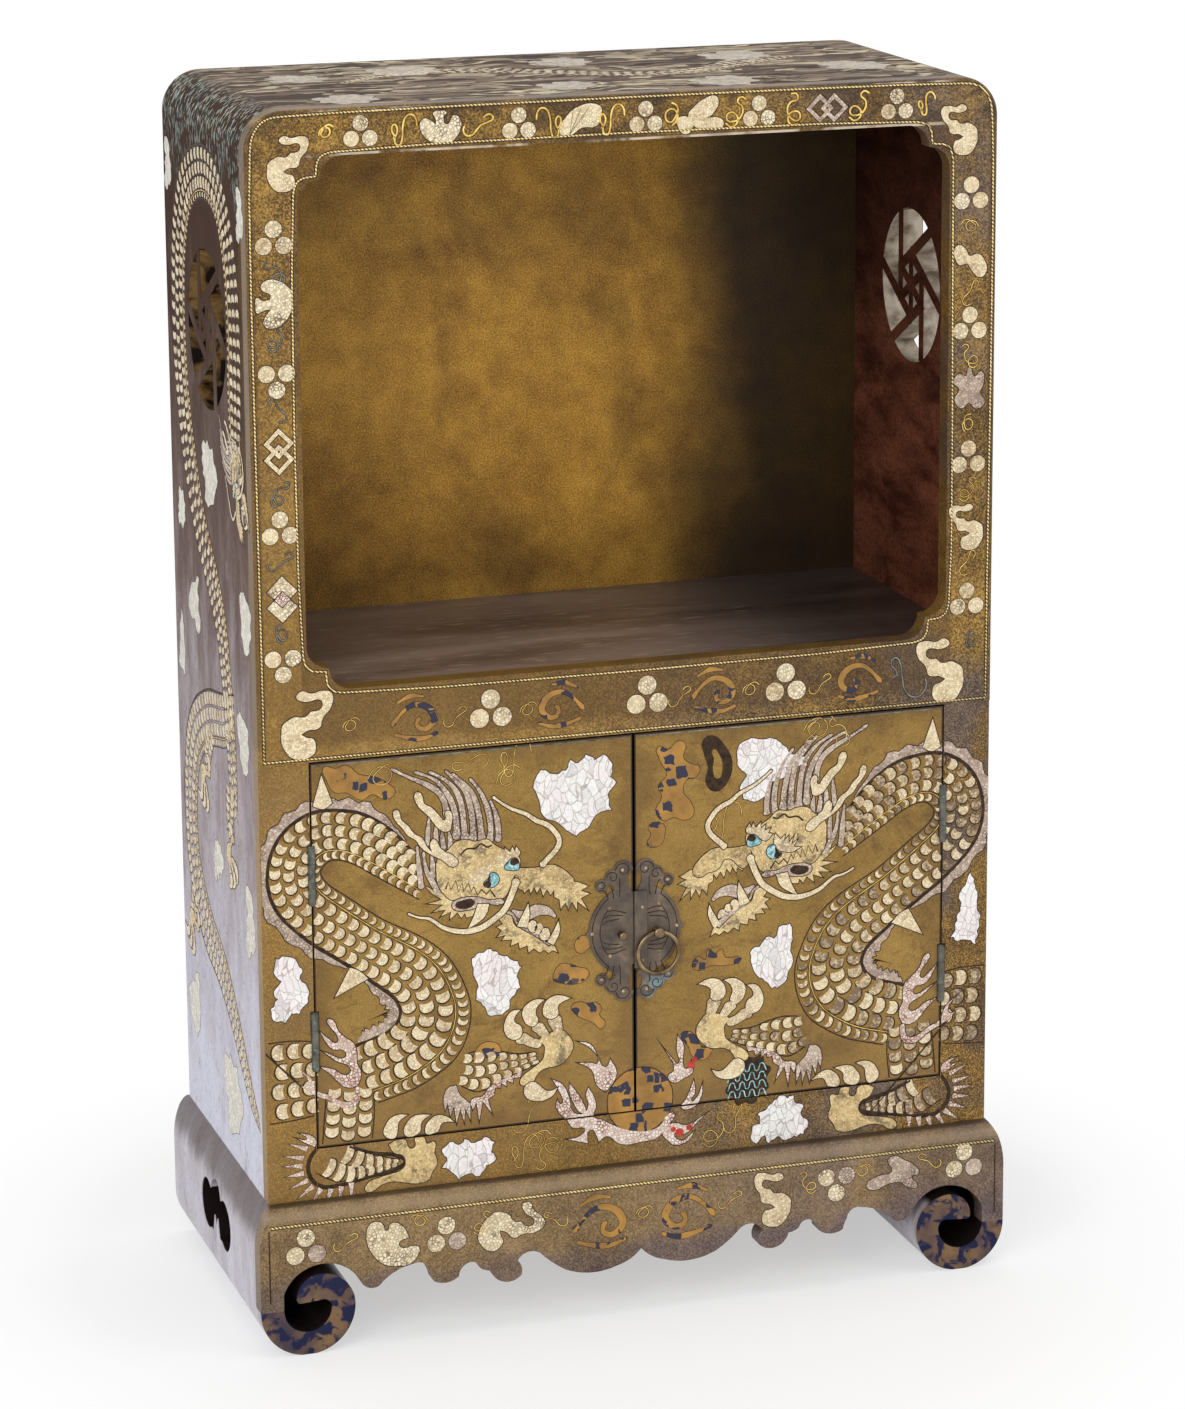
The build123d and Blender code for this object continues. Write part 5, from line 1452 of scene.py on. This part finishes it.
# every gathered inlay becomes a piece on the body that carries it
# they stop the trim off the hinge line and thin out over the ease, so that a folded door lies clear
hinge = {"line": 254.0, "trim": 0.9, "ease": 4.2}


def cutAcross(bm, axis, spot, way=1, clear=False):
    # cuts the mesh at a place on the X or Z axis, in millimetres
    line = (1, 0, 0) if axis == "X" else (0, 0, 1)
    bmesh.ops.bisect_plane(bm, geom=bm.verts[:] + bm.edges[:] + bm.faces[:], dist=1e-7,
                           plane_co=[part * spot * mm for part in line],
                           plane_no=[part * way for part in line], clear_outer=clear)


def keepPart(bm, planes):
    part = bm.copy()
    for plane in planes:
        cutAcross(part, *plane, clear=True)
        openEdges = [edge for edge in part.edges if edge.is_boundary]
        if openEdges:
            bmesh.ops.holes_fill(part, edges=openEdges, sides=0)
    return part


def newPiece(bm, name, material):
    mesh = bpy.data.meshes.new(name)
    bm.to_mesh(mesh)
    bm.free()
    mesh.materials.clear()
    mesh.materials.append(material)
    piece = bpy.data.objects.new(name, mesh)
    bpy.context.scene.collection.objects.link(piece)
    return piece


def finishPiece(bm, name, finish, body):
    if not bm.faces:
        bm.free()
        return
    piece = newPiece(bm, name, finishes[finish])
    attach(piece, body)


doorEdge, stileEdge = hinge["line"] - hinge["trim"], hinge["line"] + hinge["trim"]
frameEnds = {"side": 292.4, "railEnd": 254.6, "railTop": 158.8, "foot": 119.2}
doorFoot, doorTop = ("Z", door["foot"], -1), ("Z", door["top"], 1)
onStand = ("Z", frameEnds["foot"], -1)
carriers = {
    # part: the body that carries it, its slot, and where it ends: axis, place, and the side cut away
    "door_left": ("door_left", "door_lacquer",
                  [("X", -door["near"], 1), ("X", -doorEdge, -1), doorFoot, doorTop]),
    "door_right": ("door_right", "door_lacquer",
                   [("X", door["near"], -1), ("X", doorEdge, 1), doorFoot, doorTop]),
    "stile_left": ("cabinet", "front_lacquer",
                   [("X", -stileEdge, 1), ("X", -frameEnds["side"], -1), onStand]),
    "stile_right": ("cabinet", "front_lacquer",
                    [("X", stileEdge, -1), ("X", frameEnds["side"], 1), onStand]),
    "lower_rail": ("cabinet", "front_lacquer",
                   [("X", -frameEnds["railEnd"], -1), ("X", frameEnds["railEnd"], 1),
                    ("Z", frameEnds["railTop"], 1), onStand]),
}
groundHomes = {
    # ground, the body that carries it and its slot
    "frame": ("cabinet", "front_lacquer"), "apron": ("cabinet", "front_lacquer"),
    "left": ("cabinet", "side_lacquer"), "right": ("cabinet", "side_lacquer"),
    "top": ("cabinet", "side_lacquer"),
    "plateLeft": ("door_left", "lock_brass"), "plateRight": ("door_right", "lock_brass"),
}


def easeAtHinges(bm):
    # the plates grow thin toward the hinge lines, as the two sides of a fold do
    for side in (-1, 1):
        for edge in (hinge["line"] - hinge["ease"], hinge["line"], hinge["line"] + hinge["ease"]):
            cutAcross(bm, "X", side * edge)
    level = grounds["doors"].translation.y
    for vert in bm.verts:
        off = abs(abs(vert.co.x) - hinge["line"] * mm) / (hinge["ease"] * mm)
        if off < 1 and vert.co.y < level:
            vert.co.y = level + (vert.co.y - level) * off


for (ground, finish), bm in inlays.items():
    if ground == "doors":
        easeAtHinges(bm)
        for part, (body, slot, planes) in carriers.items():
            finishPiece(keepPart(bm, planes), f"{finish}_inlay_{part}", finish, body)
        bm.free()
    else:
        body, slot = groundHomes[ground]
        finishPiece(bm, f"{finish}_inlay_{ground}", finish, body)
print("inlays set:", len(inlays))


# pull ring
ringPlan = {"x": 17.7, "y": -135.25, "top": 304.0, "radius": 16.5, "wire": 1.7}


def makeRing():
    bm = bmesh.new()
    bmesh.ops.create_circle(bm, segments=14, radius=ringPlan["wire"] * mm,
                            matrix=Matrix.Translation((ringPlan["radius"] * mm, 0, 0)))
    bmesh.ops.spin(bm, geom=bm.verts[:] + bm.edges[:], cent=(0, 0, 0), axis=(0, 1, 0),
                   angle=2 * math.pi, steps=72, use_merge=True)
    bmesh.ops.remove_doubles(bm, verts=bm.verts, dist=1e-6)
    bmesh.ops.recalc_face_normals(bm, faces=bm.faces)
    centre = (ringPlan["x"] * mm, ringPlan["y"] * mm, (ringPlan["top"] - ringPlan["radius"]) * mm)
    bmesh.ops.transform(bm, matrix=Matrix.Translation(centre), verts=bm.verts)
    piece = newPiece(bm, "smooth_pull_ring", finishes["ring"])
    for face in piece.data.polygons:
        face.use_smooth = True
    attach(piece, "ring")
    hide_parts("pull_ring")


makeRing()
print("ring made")


# studio
studio = {
    "floorReach": 14.0, "plainFrom": 0.2, "whiteFrom": 0.6, "paleness": 0.5,
    "worldLight": 0.5,
    "lamps": [("key", (-2.4, -2.7, 2.1), 2.4, 70), ("fill", (2.6, -2.4, 1.5), 2.2, 27),
              ("over", (0.2, 0.2, 3.4), 2.6, 42)],
}


def makeFloor():
    bm = bmesh.new()
    bmesh.ops.create_grid(bm, x_segments=8, y_segments=8, size=studio["floorReach"])
    f = Finish("paper", 0.9, specular=0.1)
    f.shader.inputs["Base Color"].default_value = (0.95, 0.95, 0.95, 1)
    # plain paper under the cabinet, passing into clear white around it
    far = f.step(f.length(f.place), studio["plainFrom"], studio["whiteFrom"])
    far = f.most(far, studio["paleness"])
    rays = f.add("LightPath")
    seen = f.most(rays.outputs["Is Camera Ray"],
                  f.most(rays.outputs["Is Glossy Ray"], rays.outputs["Is Transmission Ray"]))
    glow = f.add("Emission", {"Color": (1, 1, 1, 1), "Strength": 1.0})
    blend = f.add("MixShader", {0: f.times(far, seen), 1: f.shader.outputs[0],
                                2: glow.outputs[0]})
    f.tree.links.new(blend.outputs[0], f.tree.nodes["Material Output"].inputs["Surface"])
    floor = newPiece(bm, "floor", f.material)
    floor.location.z = -0.0002      # just under the feet


def makeWorld():
    world = bpy.data.worlds.new("studioLight")
    bpy.context.scene.world = world
    world.use_nodes = True
    tree = world.node_tree
    soft = tree.nodes["Background"]
    soft.inputs["Color"].default_value = (1, 1, 1, 1)
    soft.inputs["Strength"].default_value = studio["worldLight"]
    white = tree.nodes.new("ShaderNodeBackground")
    white.inputs["Strength"].default_value = 1.0
    white.inputs["Color"].default_value = (1, 1, 1, 1)
    # the eye, metal and glass see plain white, the rest only the soft light
    rays = tree.nodes.new("ShaderNodeLightPath")
    seen = rays.outputs["Is Camera Ray"]
    for kind in ("Is Glossy Ray", "Is Transmission Ray"):
        either = tree.nodes.new("ShaderNodeMath")
        either.operation = "MAXIMUM"
        tree.links.new(seen, either.inputs[0])
        tree.links.new(rays.outputs[kind], either.inputs[1])
        seen = either.outputs[0]
    mix = tree.nodes.new("ShaderNodeMixShader")
    tree.links.new(seen, mix.inputs[0])
    tree.links.new(soft.outputs[0], mix.inputs[1])
    tree.links.new(white.outputs[0], mix.inputs[2])
    tree.links.new(mix.outputs[0], tree.nodes["World Output"].inputs["Surface"])


def makeLamps():
    for name, spot, size, power in studio["lamps"]:
        lamp = bpy.data.lights.new(name, "AREA")
        lamp.size, lamp.energy = size, power
        holder = bpy.data.objects.new(name, lamp)
        holder.location = spot
        holder.rotation_euler = (Vector((0, 0, 0.45)) - Vector(spot)).to_track_quat("-Z", "Y").to_euler()
        bpy.context.scene.collection.objects.link(holder)


# angles in degrees, lengths for a cabinet one unit high, and that unit in metres
view = {"azimuth": -17.941, "elevation": 13.034, "roll": -0.419, "across": -0.00991, "up": -0.09365,
        "distance": 3.8454, "lens": 4653.8 / 1409 * 36, "shift": -0.10, "unit": 0.95}


def makeCamera():
    data = bpy.data.cameras.new("camera")
    data.lens, data.sensor_width, data.shift_y = view["lens"], 36, view["shift"]
    data.clip_start, data.clip_end = 0.05, 60
    camera = bpy.data.objects.new("camera", data)
    bpy.context.scene.collection.objects.link(camera)
    a, e, r = (math.radians(view[key]) for key in ("azimuth", "elevation", "roll"))
    back = Vector((math.sin(a) * math.cos(e), -math.cos(a) * math.cos(e), math.sin(e)))
    right = Vector((0, 0, 1)).cross(back).normalized()
    up = back.cross(right)
    right, up = (math.cos(r) * right + math.sin(r) * up, math.cos(r) * up - math.sin(r) * right)
    spot = Vector((0, 0, 0.5)) - view["across"] * right - view["up"] * up + view["distance"] * back
    stance = Matrix((right, up, back)).transposed().to_4x4()
    stance.translation = spot * view["unit"]
    camera.matrix_world = stance
    bpy.context.scene.camera = camera


makeFloor()
makeWorld()
makeLamps()
makeCamera()
bpy.context.scene.view_settings.view_transform = "Standard"
print("studio set")
